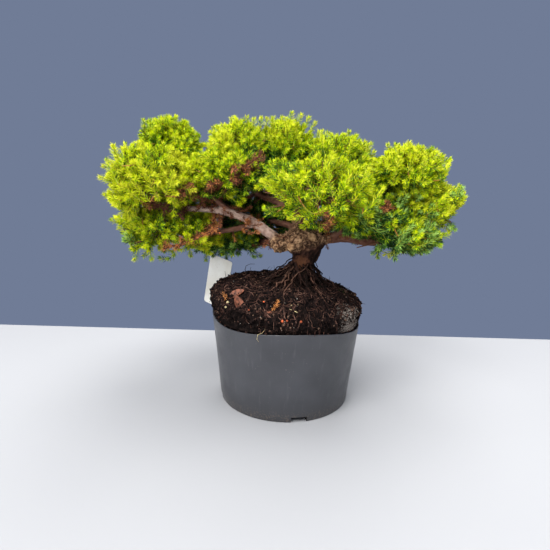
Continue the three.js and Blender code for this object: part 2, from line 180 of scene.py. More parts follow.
# Level in the list of colours: at the side of a mass, how much higher it is at the top as painted
# light from above, and how much it differs by spray, by branchlet and by needle
LEVEL_MIDDLE = 3.8
PAINTED_TOP_LIGHT = 1.1
SPRAY_VARIETY = 0.5
BRANCHLET_VARIETY = 0.3
NEEDLE_VARIETY = 2.0

# Lower towards the base of each shoot: partly the older needles' own greener tone, partly painted
# shade. Lower towards the base of each branchlet and deep in the crown: painted shade
NEEDLE_SHADING = 4.0
SHADING_MIDDLE = 0.6
SIDE_SHADING = 1.6
SIDE_SHADING_TOP = 0.92
INNER_SHADE = 2.9
INNER_REACH = (0.75, 0.35)

# Masses dealt darker colours as painted shade or, below 0, lighter as painted light, in levels
MASS_PAINTED_SHADES = {
    "inner_back": 2.2, "low_back": 1.5, "right_low": 0.1, "right_front": 0.4, "left_top": 0.7,
    "left_outer": -2.5, "left_low": -1.5, "centre_left": 0.4, "centre_top": -1.1, "apex": -1.1,
    "front": -0.2, "right_top": -0.3, "right_upper": -0.6, "right_outer": -2.1,
}

# Parts of the picture, from one corner pixel to the other, where foliage hides no limb
SHOWN_LIMBS = [
    ((180, 198), (262, 224)), ((235, 214), (300, 240)), ((252, 190), (288, 207)),
    ((268, 230), (335, 262)), ((325, 236), (378, 254)),
]
SIGHT_MARGIN = 5 * MM

# Spots of the picture, each as the two coordinates of a pixel and a radius in pixels:
# where the shoots are dead
WITHERED_SPOTS = [
    (152, 204, 7), (168, 208, 7), (187, 193, 9), (203, 195, 11), (216, 185, 9), (239, 174, 9),
    (251, 164, 9), (330, 221, 8), (387, 208, 7), (168, 247, 6), (181, 243, 6), (196, 239, 7),
    (211, 232, 7),
]
WITHERED_SHARE = 0.7
WITHERED_BACK = 10 * MM

# Where there is deep shade between sprays
SHADED_SPOTS = [
    (386, 205, 8), (382, 226, 11), (388, 240, 8), (216, 200, 12), (196, 224, 9), (160, 217, 9),
    (180, 219, 10), (157, 153, 12), (134, 152, 8), (249, 151, 8), (268, 158, 9), (272, 169, 10),
    (291, 166, 8), (318, 220, 8), (405, 218, 9),
]
SPOT_SHADE = 2.8

# Where sky shows in a notch of the outline
SKY_SPOTS = [
    (136, 123, 6), (136, 131, 5), (168, 109, 5), (195, 125, 5), (201, 127, 7), (205, 138, 6),
    (378, 149, 9), (424, 138, 6), (430, 143, 5), (470, 195, 5), (464, 214, 9), (456, 217, 4),
    (246, 252, 6), (460, 223, 6), (262, 249, 6), (104, 149, 6), (121, 247, 7), (117, 238, 6),
    (358, 255, 12), (405, 263, 6), (420, 261, 8), (435, 254, 7),
]

# Shoots that hang out of a mass: the level of each, and pixels of the picture along it
STRAY_SHOOTS = {
    "left_low": [
        (2.6, (178, 240), (176, 248), (174, 255), (168, 259), (160, 258)),
        (4.6, (126, 223), (119, 222), (112, 220)), (4.0, (142, 234), (138, 241), (132, 243)),
        (3.4, (154, 234), (152, 242), (147, 246)), (3.0, (190, 240), (187, 247), (182, 250)),
    ],
    "centre_left": [
        (4.2, (211, 197), (222, 192), (233, 193), (244, 200)),
        (3.6, (221, 192), (231, 197), (240, 204)),
    ],
    "centre_top": [
        (5.0, (246, 136), (248, 126), (247, 117)), (5.4, (252, 138), (254, 128), (254, 119)),
        (5.0, (258, 138), (260, 128), (261, 118)),
    ],
    "apex": [
        (5.0, (261, 152), (266, 163), (270, 175), (274, 184)),
        (4.4, (272, 168), (281, 178), (291, 186)), (5.4, (264, 138), (266, 128), (267, 119)),
        (5.0, (270, 136), (272, 127), (273, 118)), (5.0, (284, 132), (289, 122), (292, 113)),
        (5.4, (290, 134), (297, 124), (301, 115)), (5.0, (296, 137), (305, 127), (309, 118)),
        (5.0, (301, 141), (310, 132), (315, 123)),
    ],
    "right_top": [
        (5.0, (312, 150), (316, 140), (319, 132)), (5.0, (318, 150), (324, 141), (327, 133)),
        (5.0, (350, 158), (360, 149), (365, 142)), (5.4, (355, 162), (366, 153), (371, 144)),
        (4.6, (357, 168), (367, 160), (374, 152)),
    ],
    "low_back": [
        (2.0, (206, 243), (207, 252), (206, 260)), (1.4, (222, 245), (231, 250), (238, 253)),
        (1.4, (240, 236), (250, 240), (258, 243)),
    ],
    "right_low": [
        (6.5, (402, 246), (393, 252), (385, 254)), (6.5, (406, 246), (398, 252), (390, 256)),
        (4.0, (430, 241), (439, 237), (448, 234)),
    ],
    "right_outer": [
        (5.0, (440, 200), (450, 192), (459, 186)), (4.4, (440, 225), (448, 218), (454, 213)),
    ],
}
STRAY_FORWARD = 0.4

# Long feathery shoots on the front of a mass: the level of each, its base and its tip pixel
FEATHER_SHOOTS = {
    "front": [
        (4.8, (312, 213), (262, 182)), (4.6, (306, 209), (272, 172)), (5.0, (318, 205), (283, 172)),
        (5.2, (320, 200), (298, 162)), (5.2, (333, 198), (327, 162)), (5.0, (330, 212), (349, 176)),
        (4.6, (324, 210), (289, 218)), (5.0, (352, 204), (369, 169)), (4.6, (362, 214), (383, 189)),
    ],
    "right_upper": [
        (5.2, (393, 186), (399, 158)), (5.2, (421, 184), (425, 157)), (5.2, (408, 172), (414, 148)),
        (5.0, (440, 180), (450, 160)),
    ],
    "right_outer": [
        (4.8, (428, 214), (446, 196)), (5.0, (436, 203), (461, 188)), (4.6, (430, 226), (453, 207)),
    ],
    "right_front": [
        (5.6, (345, 211), (363, 222)), (5.6, (352, 206), (377, 220)), (5.6, (359, 219), (382, 232)),
        (5.2, (366, 205), (385, 210)),
    ],
    "right_low": [
        (5.6, (399, 222), (408, 203)), (5.6, (398, 236), (413, 226)), (6.0, (408, 243), (422, 231)),
        (5.6, (420, 246), (438, 236)), (6.0, (396, 246), (404, 236)),
    ],
    "left_top": [
        (4.6, (174, 166), (175, 133)), (4.8, (152, 144), (154, 120)), (4.8, (191, 162), (182, 145)),
    ],
    "left_outer": [
        (5.0, (122, 166), (125, 144)), (4.8, (146, 170), (149, 150)), (5.0, (118, 184), (107, 160)),
        (6.0, (150, 188), (139, 162)), (6.0, (165, 196), (172, 172)), (6.6, (140, 200), (122, 184)),
        (6.6, (150, 202), (134, 183)), (6.6, (158, 198), (148, 179)),
    ],
    "left_low": [
        (5.4, (136, 206), (111, 201)), (5.2, (142, 218), (115, 217)), (4.6, (158, 229), (133, 226)),
    ],
    "left_inner": [(4.8, (216, 178), (225, 152)), (4.8, (200, 172), (189, 153))],
    "centre_top": [(5.0, (236, 158), (230, 136))],
    "apex": [(5.0, (276, 156), (270, 136)), (5.0, (294, 146), (292, 121))],
    "right_top": [(4.8, (326, 158), (322, 136)), (4.8, (346, 160), (352, 141))],
}
FEATHER_DEPTHS = np.linspace(0.95, 0, 20)
FEATHER_INTERNODE = 1.45 * MM
GLAUCOUS_FEATHERS = ("right_front", "right_low")

# Dead sprigs left on the shaded boughs, with their number
DEAD_SPRIGS = {
    "left": 7, "left_rising": 12, "left_low": 26, "left_inner": 14, "centre_left": 14,
    "upper_left": 12, "upper_right": 6, "front": 8, "right": 5, "right_rising": 14,
    "right_front": 8, "right_outer": 8, "left_back": 10, "right_back": 10, "back": 8,
    "low_back": 10,
}
ORANGE_SPRIGS = ("left_low", "front", "right_front")
DEAD_LENGTH = (8 * MM, 18 * MM)
DEAD_SPREAD = np.array([1.0, 1.0, 0.35])
DEAD_ALONG = 0.5
DEAD_SCATTER = 0.45
DEAD_INTERNODE = 2.0 * MM
DEAD_SIZE = 0.75
DEAD_RADII = np.array([0.7, 0.5, 0.3]) * MM

# Dead sprays along pixels of the picture: the mass whose front half they lie in, how far
# forward in it, and the tone
DEAD_SPRAYS = [
    ("left_outer", 0.4, [(140, 196), (152, 203), (165, 209), (180, 214)], 0),
    ("left_inner", 0.5, [(184, 214), (184, 204), (186, 193), (190, 182)], 0),
    ("left_inner", 0.6, [(198, 208), (205, 198), (213, 188), (222, 178)], 1),
    ("centre_left", 0.8, [(232, 179), (240, 170), (250, 163), (260, 156)], 1),
    ("left_low", 0.8, [(220, 226), (204, 235), (190, 241), (177, 245), (165, 248)], 2),
    ("left_low", 0.3, [(213, 224), (215, 214), (216, 206)], 2),
]
DEAD_SIDE_SHOOTS = 8
DEAD_SIDE_LENGTH = (4 * MM, 8 * MM)
DEAD_SIDE_SCATTER = 0.7
DARKER_SHARE = 0.4


def solid(name):
    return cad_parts[name]


def linear(colour):
    """A screen colour as the linear colour that a shader takes."""
    shares = np.array(colour) / 255
    curve = np.where(shares <= 0.04045, shares / 12.92, ((shares + 0.055) / 1.055) ** 2.4)
    return (*curve.tolist(), 1.0)


def between(pair, share):
    return pair[0] + (pair[1] - pair[0]) * share


def smooth_step(values, start, end):
    share = np.clip((values - start) / (end - start), 0, 1)
    return share * share * (3 - 2 * share)


def lengths(vectors):
    return np.linalg.norm(vectors, axis=-1)


def unit(vectors):
    return vectors / lengths(vectors)[..., None]


def square_axes(directions):
    """Two unit vectors square to each direction and to each other."""
    steep = np.abs(directions[..., 2:3]) > 0.9
    reference = np.where(steep, np.array([1.0, 0.0, 0.0]), UP)
    first = unit(np.cross(reference, directions))
    return first, np.cross(directions, first)


def turned(first, second, angles):
    """Directions at these angles from the first of two square directions towards the second."""
    return np.cos(angles)[..., None] * first + np.sin(angles)[..., None] * second


def level_heading(angle):
    return np.array([math.cos(angle), math.sin(angle), 0])


def arrays_of(mesh):
    """Corners, triangles and corner normals of a mesh, as arrays."""
    mesh.calc_loop_triangles()
    corners = np.empty(len(mesh.vertices) * 3, np.float32)
    normals = np.empty(len(mesh.vertices) * 3, np.float32)
    triangles = np.empty(len(mesh.loop_triangles) * 3, np.int32)
    mesh.vertices.foreach_get("co", corners)
    mesh.vertices.foreach_get("normal", normals)
    mesh.loop_triangles.foreach_get("vertices", triangles)
    return (
        corners.reshape(-1, 3).astype(float),
        triangles.reshape(-1, 3),
        normals.reshape(-1, 3).astype(float),
    )


def corners_of(node):
    return arrays_of(solid(node).data)[0]


def joined(objects, growth=0.0):
    """Corners and triangles of objects as one mesh, each grown along its normals."""
    corners, triangles, count = [], [], 0
    for item in objects:
        points, faces, normals = arrays_of(item.data)
        corners.append(points + growth * normals)
        triangles.append(faces + count)
        count += len(points)
    return np.concatenate(corners), np.concatenate(triangles)


def skin_of(*objects):
    """A search tree over the surfaces of these objects."""
    corners, triangles = joined(objects)
    return BVHTree.FromPolygons(corners.tolist(), triangles.tolist())


def distances(skin, points):
    return np.array([skin.find_nearest(point)[3] for point in points.tolist()])


# Camera axes: right, up and back
LEVEL_UP = np.array([0, math.sin(CAMERA_PITCH), math.cos(CAMERA_PITCH)])
CAMERA_BACK = np.array([0, -math.cos(CAMERA_PITCH), math.sin(CAMERA_PITCH)])
LEVEL_RIGHT = np.array([1.0, 0.0, 0.0])
CAMERA_RIGHT = math.cos(CAMERA_ROLL) * LEVEL_RIGHT + math.sin(CAMERA_ROLL) * LEVEL_UP
CAMERA_UP = math.cos(CAMERA_ROLL) * LEVEL_UP - math.sin(CAMERA_ROLL) * LEVEL_RIGHT


def sight_of(pixel):
    """The direction from the camera through a pixel of the photograph."""
    across = (pixel[0] - PHOTO_SIDE / 2) / FOCAL_PIXELS
    rise = (PHOTO_SIDE / 2 - pixel[1]) / FOCAL_PIXELS
    return across * CAMERA_RIGHT + rise * CAMERA_UP - CAMERA_BACK


def sight_at(pixel, depth):
    """The point behind a pixel of the photograph at a depth along Y."""
    sight = sight_of(pixel)
    return CAMERA_AT + sight * (depth - CAMERA_AT[1]) / sight[1]


def seen_at(pixel, skin):
    """The point and normal of a surface that the photograph shows at a pixel."""
    point, normal, _, _ = skin.ray_cast(Vector(CAMERA_AT), Vector(sight_of(pixel)))
    return np.array(point), np.array(normal)


def pixels_of(points):
    """Where points appear in the photograph."""
    offset = points - CAMERA_AT
    far = -offset @ CAMERA_BACK
    across = PHOTO_SIDE / 2 + FOCAL_PIXELS * (offset @ CAMERA_RIGHT) / far
    down = PHOTO_SIDE / 2 - FOCAL_PIXELS * (offset @ CAMERA_UP) / far
    return np.stack([across, down], -1)


def in_spots(points, spots):
    """Which of these points appear in any of the spots of the picture."""
    pixels = pixels_of(points)
    found = np.zeros(len(points), bool)
    for *place, radius in spots:
        found |= lengths(pixels - np.array(place)) < radius
    return found


# Materials


def plain_material(name, colour, roughness, specular=0.3):
    material = bpy.data.materials.new(name)
    material.use_nodes = True
    shader = material.node_tree.nodes["Principled BSDF"]
    shader.inputs["Base Color"].default_value = linear(colour)
    shader.inputs["Roughness"].default_value = roughness
    shader.inputs["Specular IOR Level"].default_value = specular
    return material


def plain_materials(name, colours, *finish):
    return [plain_material(f"{name}_{k}", colour, *finish) for k, colour in enumerate(colours)]


class Pattern:
    """A plain material with pattern nodes, in millimetres of the object's own space."""

    def __init__(self, name, colour, roughness, specular):
        self.material = plain_material(name, colour, roughness, specular)
        self.nodes = self.material.node_tree.nodes
        self.links = self.material.node_tree.links
        self.shader = self.nodes["Principled BSDF"]
        self.place = self.nodes.new("ShaderNodeTexCoord").outputs["Object"]

    def node(self, kind, **inputs):
        """A new node, with an output of another node or a plain value for each input."""
        node = self.nodes.new(f"ShaderNode{kind}")
        for name, value in inputs.items():
            if isinstance(value, bpy.types.NodeSocket):
                self.links.new(value, node.inputs[name])
            else:
                node.inputs[name].default_value = value
        return node

    def noise(self, grain, detail=4, stretch=(1, 1, 1)):
        """Noise of the given grain in millimetres, drawn out along the axes by stretch."""
        place = self.node("Mapping", Scale=[1 / s for s in stretch], Vector=self.place).outputs[0]
        scale = 1 / (grain * MM)
        return self.node("TexNoise", Scale=scale, Detail=detail, Vector=place).outputs["Fac"]

    def attribute(self, name):
        node = self.node("Attribute")
        node.attribute_name = name
        return node.outputs["Fac"]

    def height(self):
        return self.node("SeparateXYZ", Vector=self.place).outputs["Z"]

    def ramp(self, factor, stops):
        """Colours by factor: stops are (position, screen colour)."""
        node = self.node("ValToRGB", Fac=factor)
        elements = node.color_ramp.elements
        while len(elements) < len(stops):
            elements.new(0.5)
        for element, (position, colour) in zip(elements, stops):
            element.position = position
            element.color = linear(colour)
        return node.outputs["Color"]

    def range(self, value, start, end, low, high):
        """A value moved from one range to another."""
        limits = {"From Min": start, "From Max": end, "To Min": low, "To Max": high}
        return self.node("MapRange", Value=value, **limits).outputs["Result"]

    def mix(self, factor, first, second, mode="MIX"):
        node = self.node("Mix")
        node.data_type = "RGBA"
        node.blend_type = mode
        self.links.new(factor, node.inputs["Factor"])
        sockets = [socket for socket in node.inputs if socket.type == "RGBA"]
        for socket, colour in zip(sockets, (first, second)):
            if isinstance(colour, tuple):
                socket.default_value = linear(colour)
            else:
                self.links.new(colour, socket)
        return next(socket for socket in node.outputs if socket.type == "RGBA")

    def mix_by(self, attribute, most, first, second, mode="MIX"):
        """Mixes in the second colour by a stored value, up to the given share."""
        return self.mix(self.range(self.attribute(attribute), 0, 1, 0, most), first, second, mode)

    def specked(self, under, tint, grain, start, end, most):
        """Specks of a tint on a colour, up to a share, where noise goes from start to end."""
        return self.mix(self.range(self.noise(*grain), start, end, 0, most), under, tint)

    def colour(self, colour):
        self.links.new(colour, self.shader.inputs["Base Color"])

    def roughness(self, value):
        self.links.new(value, self.shader.inputs["Roughness"])

    def bump(self, height, depth):
        """Bump of the given depth in millimetres."""
        node = self.node("Bump", Distance=depth * MM, Height=height)
        self.links.new(node.outputs["Normal"], self.shader.inputs["Normal"])


def mottled_materials(name, colours, finish, shades, stops, grain, fine_grain, depth):
    """Materials with darker and lighter blotches of their colours and a fine bump."""
    materials = []
    for k, colour in enumerate(colours):
        pattern = Pattern(f"{name}_{k}", colour, *finish)
        tones = [tuple(min(255, round(shade * value)) for value in colour) for shade in shades]
        pattern.colour(pattern.ramp(pattern.noise(*grain), list(zip(stops, tones))))
        pattern.bump(pattern.noise(fine_grain), depth)
        materials.append(pattern.material)
    return materials


# Meshes


def placed(name, data):
    """A new object in the scene."""
    item = bpy.data.objects.new(name, data)
    bpy.context.scene.collection.objects.link(item)
    return item


def mesh_piece(name, corners, triangles, materials, deal=None, smooth=False):
    """A new piece from arrays: deal gives each triangle's place in the list of materials."""
    mesh = bpy.data.meshes.new(name)
    mesh.vertices.add(len(corners))
    mesh.vertices.foreach_set("co", np.asarray(corners, np.float32).ravel())
    mesh.loops.add(3 * len(triangles))
    mesh.loops.foreach_set("vertex_index", np.asarray(triangles, np.int32).ravel())
    mesh.polygons.add(len(triangles))
    mesh.polygons.foreach_set("loop_start", np.arange(0, 3 * len(triangles), 3, dtype=np.int32))
    for material in materials:
        mesh.materials.append(material)
    if deal is not None:
        mesh.polygons.foreach_set("material_index", np.asarray(deal, np.int32))
    mesh.polygons.foreach_set("use_smooth", np.full(len(triangles), smooth))
    mesh.update(calc_edges=True)
    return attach(placed(name, mesh), "root")


def store(piece, **stored):
    """Stores values at the corners of a piece, for its material."""
    for name, values in stored.items():
        attribute = piece.data.attributes.new(name, "FLOAT", "POINT")
        attribute.data.foreach_set("value", np.asarray(values, np.float32))


class Parts:
    """Corners, triangles and material numbers of many small things that become one mesh."""

    def __init__(self):
        self.corners, self.triangles, self.deal = [], [], []
        self.count = 0

    def add(self, corners, triangles, material):
        """Adds things of one shape: corners is (things, corners, 3), triangles counts in one."""
        things, each = corners.shape[:2]
        offsets = self.count + each * np.arange(things)
        self.corners.append(corners.reshape(-1, 3))
        self.triangles.append((triangles[None] + offsets[:, None, None]).reshape(-1, 3))
        self.deal.append(np.repeat(np.broadcast_to(material, things), len(triangles)))
        self.count += things * each

    def add_tubes(self, paths, radii, sides, material):
        self.add(*tubes(paths, radii, sides), material)

    def add_twigs(self, lines, bend, radii, sides, material):
        """Adds tubes along lines that sag by a share of their length, with radii along each."""
        self.add_tubes(curved(lines, len(radii), bend), radii, sides, material)

    def piece(self, name, materials, smooth=False):
        arrays = (np.concatenate(self.corners), np.concatenate(self.triangles))
        return mesh_piece(name, *arrays, materials, np.concatenate(self.deal), smooth)


def ring_triangles(rows, sides):
    """Triangles between rows of corners that are rings of so many sides."""
    triangles = []
    for row in range(rows - 1):
        for k in range(sides):
            a, b = row * sides + k, row * sides + (k + 1) % sides
            triangles += [(a, b, b + sides), (a, b + sides, a + sides)]
    return triangles


def tubes(paths, radii, sides):
    """Closed tubes along paths of shape (tubes, points, 3), with a radius at each point."""
    count, points = paths.shape[:2]
    along = np.empty_like(paths)
    along[:, 1:-1] = paths[:, 2:] - paths[:, :-2]
    along[:, 0] = paths[:, 1] - paths[:, 0]
    along[:, -1] = paths[:, -1] - paths[:, -2]
    along = unit(along)
    first = square_axes(unit(paths[:, -1] - paths[:, 0]))[0][:, None]
    first = unit(first - (first * along).sum(-1, keepdims=True) * along)
    second = np.cross(along, first)
    angles = 2 * math.pi * np.arange(sides) / sides
    ring = turned(first[:, :, None], second[:, :, None], angles)
    radii = np.broadcast_to(radii, (count, points))
    corners = paths[:, :, None] + ring * radii[:, :, None, None]
    triangles = ring_triangles(points, sides)
    last = (points - 1) * sides
    for k in range(1, sides - 1):
        triangles += [(0, k + 1, k), (last, last + k, last + k + 1)]
    return corners.reshape(count, points * sides, 3), np.array(triangles)


def sagged(start, end, bend):
    """The middle handle of a curve that sags by a share of its length."""
    return (start + end) / 2 - UP * bend * lengths(end - start)[..., None]


def on_curve(start, middle, end, t):
    return (1 - t) ** 2 * start + 2 * t * (1 - t) * middle + t**2 * end


def curved(lines, points, bend):
    """Lines of shape (lines, 2, 3) as curves that sag by a share of their length."""
    start, end = lines[:, 0], lines[:, 1]
    middle = sagged(start, end, bend)
    t = np.linspace(0, 1, points)[None, :, None]
    return on_curve(start[:, None], middle[:, None], end[:, None], t)


def remeshed(corners, triangles, voxel, smoothing):
    """An even skin over closed shapes, smoothed, as (corners, triangles, normals)."""
    mesh = bpy.data.meshes.new("rough")
    mesh.from_pydata(corners.tolist(), [], triangles.tolist())
    rough = placed("rough", mesh)
    remesh = rough.modifiers.new("remesh", "REMESH")
    remesh.mode = "VOXEL"
    remesh.voxel_size = voxel
    smooth = rough.modifiers.new("smooth", "SMOOTH")
    smooth.iterations = smoothing
    smooth.factor = 0.5
    evaluated = rough.evaluated_get(bpy.context.evaluated_depsgraph_get())
    skin = arrays_of(evaluated.to_mesh())
    evaluated.to_mesh_clear()
    bpy.data.objects.remove(rough)
    return skin


def fractal(points, grain, octaves=3):
    """Smooth noise from about -1 to 1 at each point, with grain in millimetres."""
    scaled = points / (grain * MM)
    return np.array([noise.fractal(p, 1.0, 2.0, octaves) for p in scaled.reshape(-1, 3).tolist()])


def plates(points, grain):
    """Bark plates: a height of its own for each, from -1 to 1, and 0 at its edge to 1 inside."""
    heights, edges = [], []
    for point in (points / (grain * MM)).tolist():
        apart, centres = noise.voronoi(point)
        heights.append(noise.cell(centres[0] * 9.7))
        edges.append(apart[1] - apart[0])
    return np.array(heights), np.clip(4 * np.array(edges), 0, 1)


def patch(points, spot, skin, ragged):
    """1 in the middle of a ragged patch, seen at a pixel and of a radius, and 0 outside it."""
    pixel, radius = spot
    away = lengths(points - seen_at(pixel, skin)[0]) / radius
    return smooth_step(away + 0.5 * ragged, 1.1, 0.55)


# Limbs: one skin of bark over the trunk and all boughs

BARK_VOXEL = 1.05 * MM
BARK_SMOOTHING = 4
LIMB_GROWTH = 0.3 * MM
TRUNK_REACH = 7 * MM
BURL_DEPTH = 31 * MM
BURL_SLANT = 0.25
BURL_EDGE = 3 * MM
PLATE_WARP = 2.6 * MM
BROAD_PLATES = 6.4
NARROW_PLATES = 2.5
STRIP_STRETCH = np.array([1.0, 1.0, 0.5])
PALE_BOUGH = "left_bough"
PALE_EDGE = (1.5 * MM, 4 * MM)
WORN_PATCH = ((301, 262), 9 * MM)
PRUNING_SCARS = [((312, 237), 5.2 * MM), ((290, 247), 4.2 * MM)]
SCAR_RISE = 0.4 * MM
COLLAR_RISE = 0.9 * MM


def bark():
    limbs = [solid(name) for name in LIMBS]
    corners, triangles, normals = remeshed(*joined(limbs, LIMB_GROWTH), BARK_VOXEL, BARK_SMOOTHING)
    trunk = skin_of(solid("trunk"))
    trunk_low, trunk_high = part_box("trunk")
    on_trunk = np.clip(1 - distances(trunk, corners) / TRUNK_REACH, 0, 1)
    middle = (trunk_low.x + trunk_high.x) / 2
    burl_floor = trunk_high.z - BURL_DEPTH + BURL_SLANT * (corners[:, 0] - middle)
    ragged = BURL_EDGE * fractal(corners, 8)
    gnarled = on_trunk * smooth_step(corners[:, 2] + ragged - burl_floor, -BURL_EDGE, BURL_EDGE)
    foot = on_trunk * (1 - gnarled)
    plain = 1 - on_trunk

    warp = np.stack([fractal(corners + shift, 6) for shift in (0.0, 0.1, 0.2)], -1)
    warped = corners + PLATE_WARP * warp
    broad, broad_inside = plates(warped, BROAD_PLATES)
    narrow, narrow_inside = plates(warped + 0.5, NARROW_PLATES)
    grit = fractal(corners, 2.2, 2)
    swell = fractal(corners, 11)
    strips = fractal(corners * STRIP_STRETCH, 4.0)
    rings = fractal(corners, 3.0)

    # Lift of the surface in millimetres, and its tone from darker hollows to lighter ridges:
    # partly the bark's own tone, partly painted shade in the hollows
    hollow = 1.0 * (1 - broad_inside) + 0.6 * (1 - narrow_inside)
    burl_lift = 0.7 * broad + 0.7 * narrow + 1.6 * swell + 0.5 * grit - hollow
    foot_lift = 0.8 * strips + 0.6 * grit + 0.6 * swell
    bough_lift = 0.3 * rings + 0.4 * swell
    lift = gnarled * burl_lift + foot * foot_lift + plain * bough_lift
    crevice_painted_shade = 0.32 * (1 - broad_inside) + 0.3 * (1 - narrow_inside)
    burl_relief = 0.66 + 0.16 * broad + 0.16 * narrow + 0.35 * grit - crevice_painted_shade
    relief = gnarled * burl_relief + foot * (0.5 + 0.5 * strips) + plain * (0.55 + 0.4 * rings)
    corners = corners + normals * (lift * MM)[:, None]

    scar = np.zeros(len(corners))
    for pixel, radius in PRUNING_SCARS:
        centre, facing = seen_at(pixel, trunk)
        offset = corners - centre
        rise = offset @ facing
        flat = lengths(offset - rise[:, None] * facing)
        close = np.abs(rise) < 2 * radius
        near = smooth_step(flat, 1.25 * radius, 0.7 * radius) * close
        collar = np.exp(-(((flat / radius) - 1.05) ** 2) / 0.03) * close
        sunk = near * (rise - SCAR_RISE) - COLLAR_RISE * collar
        corners = corners - sunk[:, None] * facing
        scar = np.maximum(scar, near)

    piece = mesh_piece("bark", corners, triangles, [bark_material()], smooth=True)
    worn = patch(corners, WORN_PATCH, trunk, grit)
    # Boughs away from the pale one are darkened: partly their own reddish-brown bark, partly
    # painted shade inside the crown
    dark = smooth_step(distances(skin_of(solid(PALE_BOUGH)), corners), *PALE_EDGE)
    relief = np.clip(relief, 0, 1)
    store(piece, relief=relief, gnarled=gnarled, foot=foot, scar=scar, worn=worn, dark=dark)
    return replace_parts(piece, *LIMBS)


def bark_material():
    pattern = Pattern("bark", (120, 84, 62), 0.85, 0.08)
    # Darker hollows and lighter ridges: partly the bark's own tone, partly painted shade
    relief = pattern.attribute("relief")
    blotches = pattern.noise(8, 6)
    burl = pattern.ramp(
        relief,
        [(0.2, (22, 14, 11)), (0.42, (76, 53, 38)), (0.64, (136, 103, 74)), (0.9, (188, 156, 120))],
    )
    burl_tint = pattern.ramp(blotches, [(0.36, (84, 57, 41)), (0.6, (176, 142, 106))])
    burl = pattern.mix(pattern.range(relief, 0.3, 0.9, 0.1, 0.45), burl, burl_tint)
    # The lower trunk's very deep browns: partly its own red-brown bark, partly painted shade under
    # the burl
    foot = pattern.ramp(relief, [(0.2, (8, 5, 4)), (0.5, (26, 15, 12)), (0.85, (58, 36, 28))])
    foot = pattern.mix_by("worn", 0.3, foot, (128, 82, 54))
    bough = pattern.ramp(
        relief, [(0.15, (102, 74, 62)), (0.5, (170, 140, 124)), (0.9, (204, 180, 164))]
    )
    bough_tint = pattern.ramp(blotches, [(0.36, (112, 82, 68)), (0.62, (196, 170, 152))])
    bough = pattern.mix(pattern.range(blotches, 0.3, 0.7, 0.2, 0.6), bough, bough_tint)
    # Darkening of the other boughs: partly their own reddish-brown bark, partly painted shade
    bough = pattern.mix_by("dark", 0.9, bough, (138, 102, 86), "MULTIPLY")
    surface = pattern.mix(pattern.attribute("gnarled"), bough, burl)
    surface = pattern.mix(pattern.attribute("foot"), surface, foot)
    wood = pattern.ramp(pattern.noise(3, 4), [(0.35, (128, 92, 62)), (0.65, (186, 152, 112))])
    surface = pattern.mix(pattern.range(pattern.attribute("scar"), 0.3, 1, 0, 0.8), surface, wood)
    pattern.colour(surface)
    pattern.bump(pattern.noise(0.9, 5), 0.3)
    return pattern.material


# Foliage


def seeded(seed):
    """The small seeded random source of the solids: numbers from 0 to 1."""
    state = seed
    while True:
        state = (state * 1664525 + 1013904223) % 2**32
        yield state / 2**32


def spray_direction(k, outwards):
    """Spread by the golden angle from straight up to the lowest spray, the middle one outwards."""
    span = 1 - LOWEST_SPRAY
    z = 1 - span * (k + 0.5) / SPRAYS_PER_MASS
    angle = outwards + (k - round(SPRAYS_PER_MASS / span)) * GOLDEN_ANGLE
    flat = math.sqrt(1 - z * z)
    return np.array([flat * math.cos(angle), flat * math.sin(angle), z])


def space_of(mass):
    """The space of a mass: its solid's box, grown towards its neighbours, as middle and half."""
    low, high = (np.array(corner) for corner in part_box(f"{mass}_foliage"))
    inward = (FOLIAGE_MIDDLE - (low + high) / 2) / FOLIAGE_HALF
    inward = np.clip(inward * INWARD_SLOPE, -1, 1)
    growth = INWARD_GROWTH * (high - low) / 2
    low = low - growth * np.clip(1 - inward, 0, 1) + TIP_ROOM
    high = high + growth * np.clip(1 + inward, 0, 1) - np.array([TIP_ROOM, TIP_ROOM, TOP_ROOM])
    low[2] = high[2] - (high - low)[2] * DEEP_SPACES.get(mass, SPACE_DROP)
    return (low + high) / 2, (high - low) / 2


def foliage_span():
    boxes = [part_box(f"{mass}_foliage") for mass in MASSES]
    low = np.min([box[0] for box in boxes], axis=0)
    high = np.max([box[1] for box in boxes], axis=0)
    return (low + high) / 2, (high - low) / 2


FOLIAGE_MIDDLE, FOLIAGE_HALF = foliage_span()
SPACES = {mass: space_of(mass) for mass in MASSES}


def depth_in(mass, points):
    centre, half = SPACES[mass]
    return lengths((points - centre) / half)


def in_mass(mass, pixel, forward):
    """The point behind a pixel, forward of a mass's middle by a share of its half depth."""
    centre, half = SPACES[mass]
    return sight_at(pixel, centre[1] - forward * half[1])


def front_of(mass, pixel):
    """The point behind a pixel on the front of a mass, or half way back beside the mass."""
    centre, half = SPACES[mass]
    for forward in FEATHER_DEPTHS:
        point = in_mass(mass, pixel, forward)
        if (np.abs((point - centre) / half) ** SPACE_SQUARENESS).sum() < 1:
            break
    return point


def bough_tip(bough, towards):
    """The middle of a bough's end, from the corners that lie nearest to the mass it bears."""
    corners = corners_of(f"{bough}_bough")
    order = np.argsort(lengths(corners - towards))
    return corners[order[:END_CORNERS]].mean(0)


def fan(direction, turn, rng):
    """Directions of a spray's branchlets: a golden spiral in a cone round the spray's own."""
    k = np.arange(BRANCHLETS_PER_SPRAY)
    share = np.sqrt((k + FAN_OFFSET) / BRANCHLETS_PER_SPRAY)
    around = turn + k * GOLDEN_ANGLE + rng.normal(0, FAN_SCATTER, len(k))
    sideways = turned(*square_axes(direction), around)
    return turned(direction, sideways, FAN_ANGLE * share), share


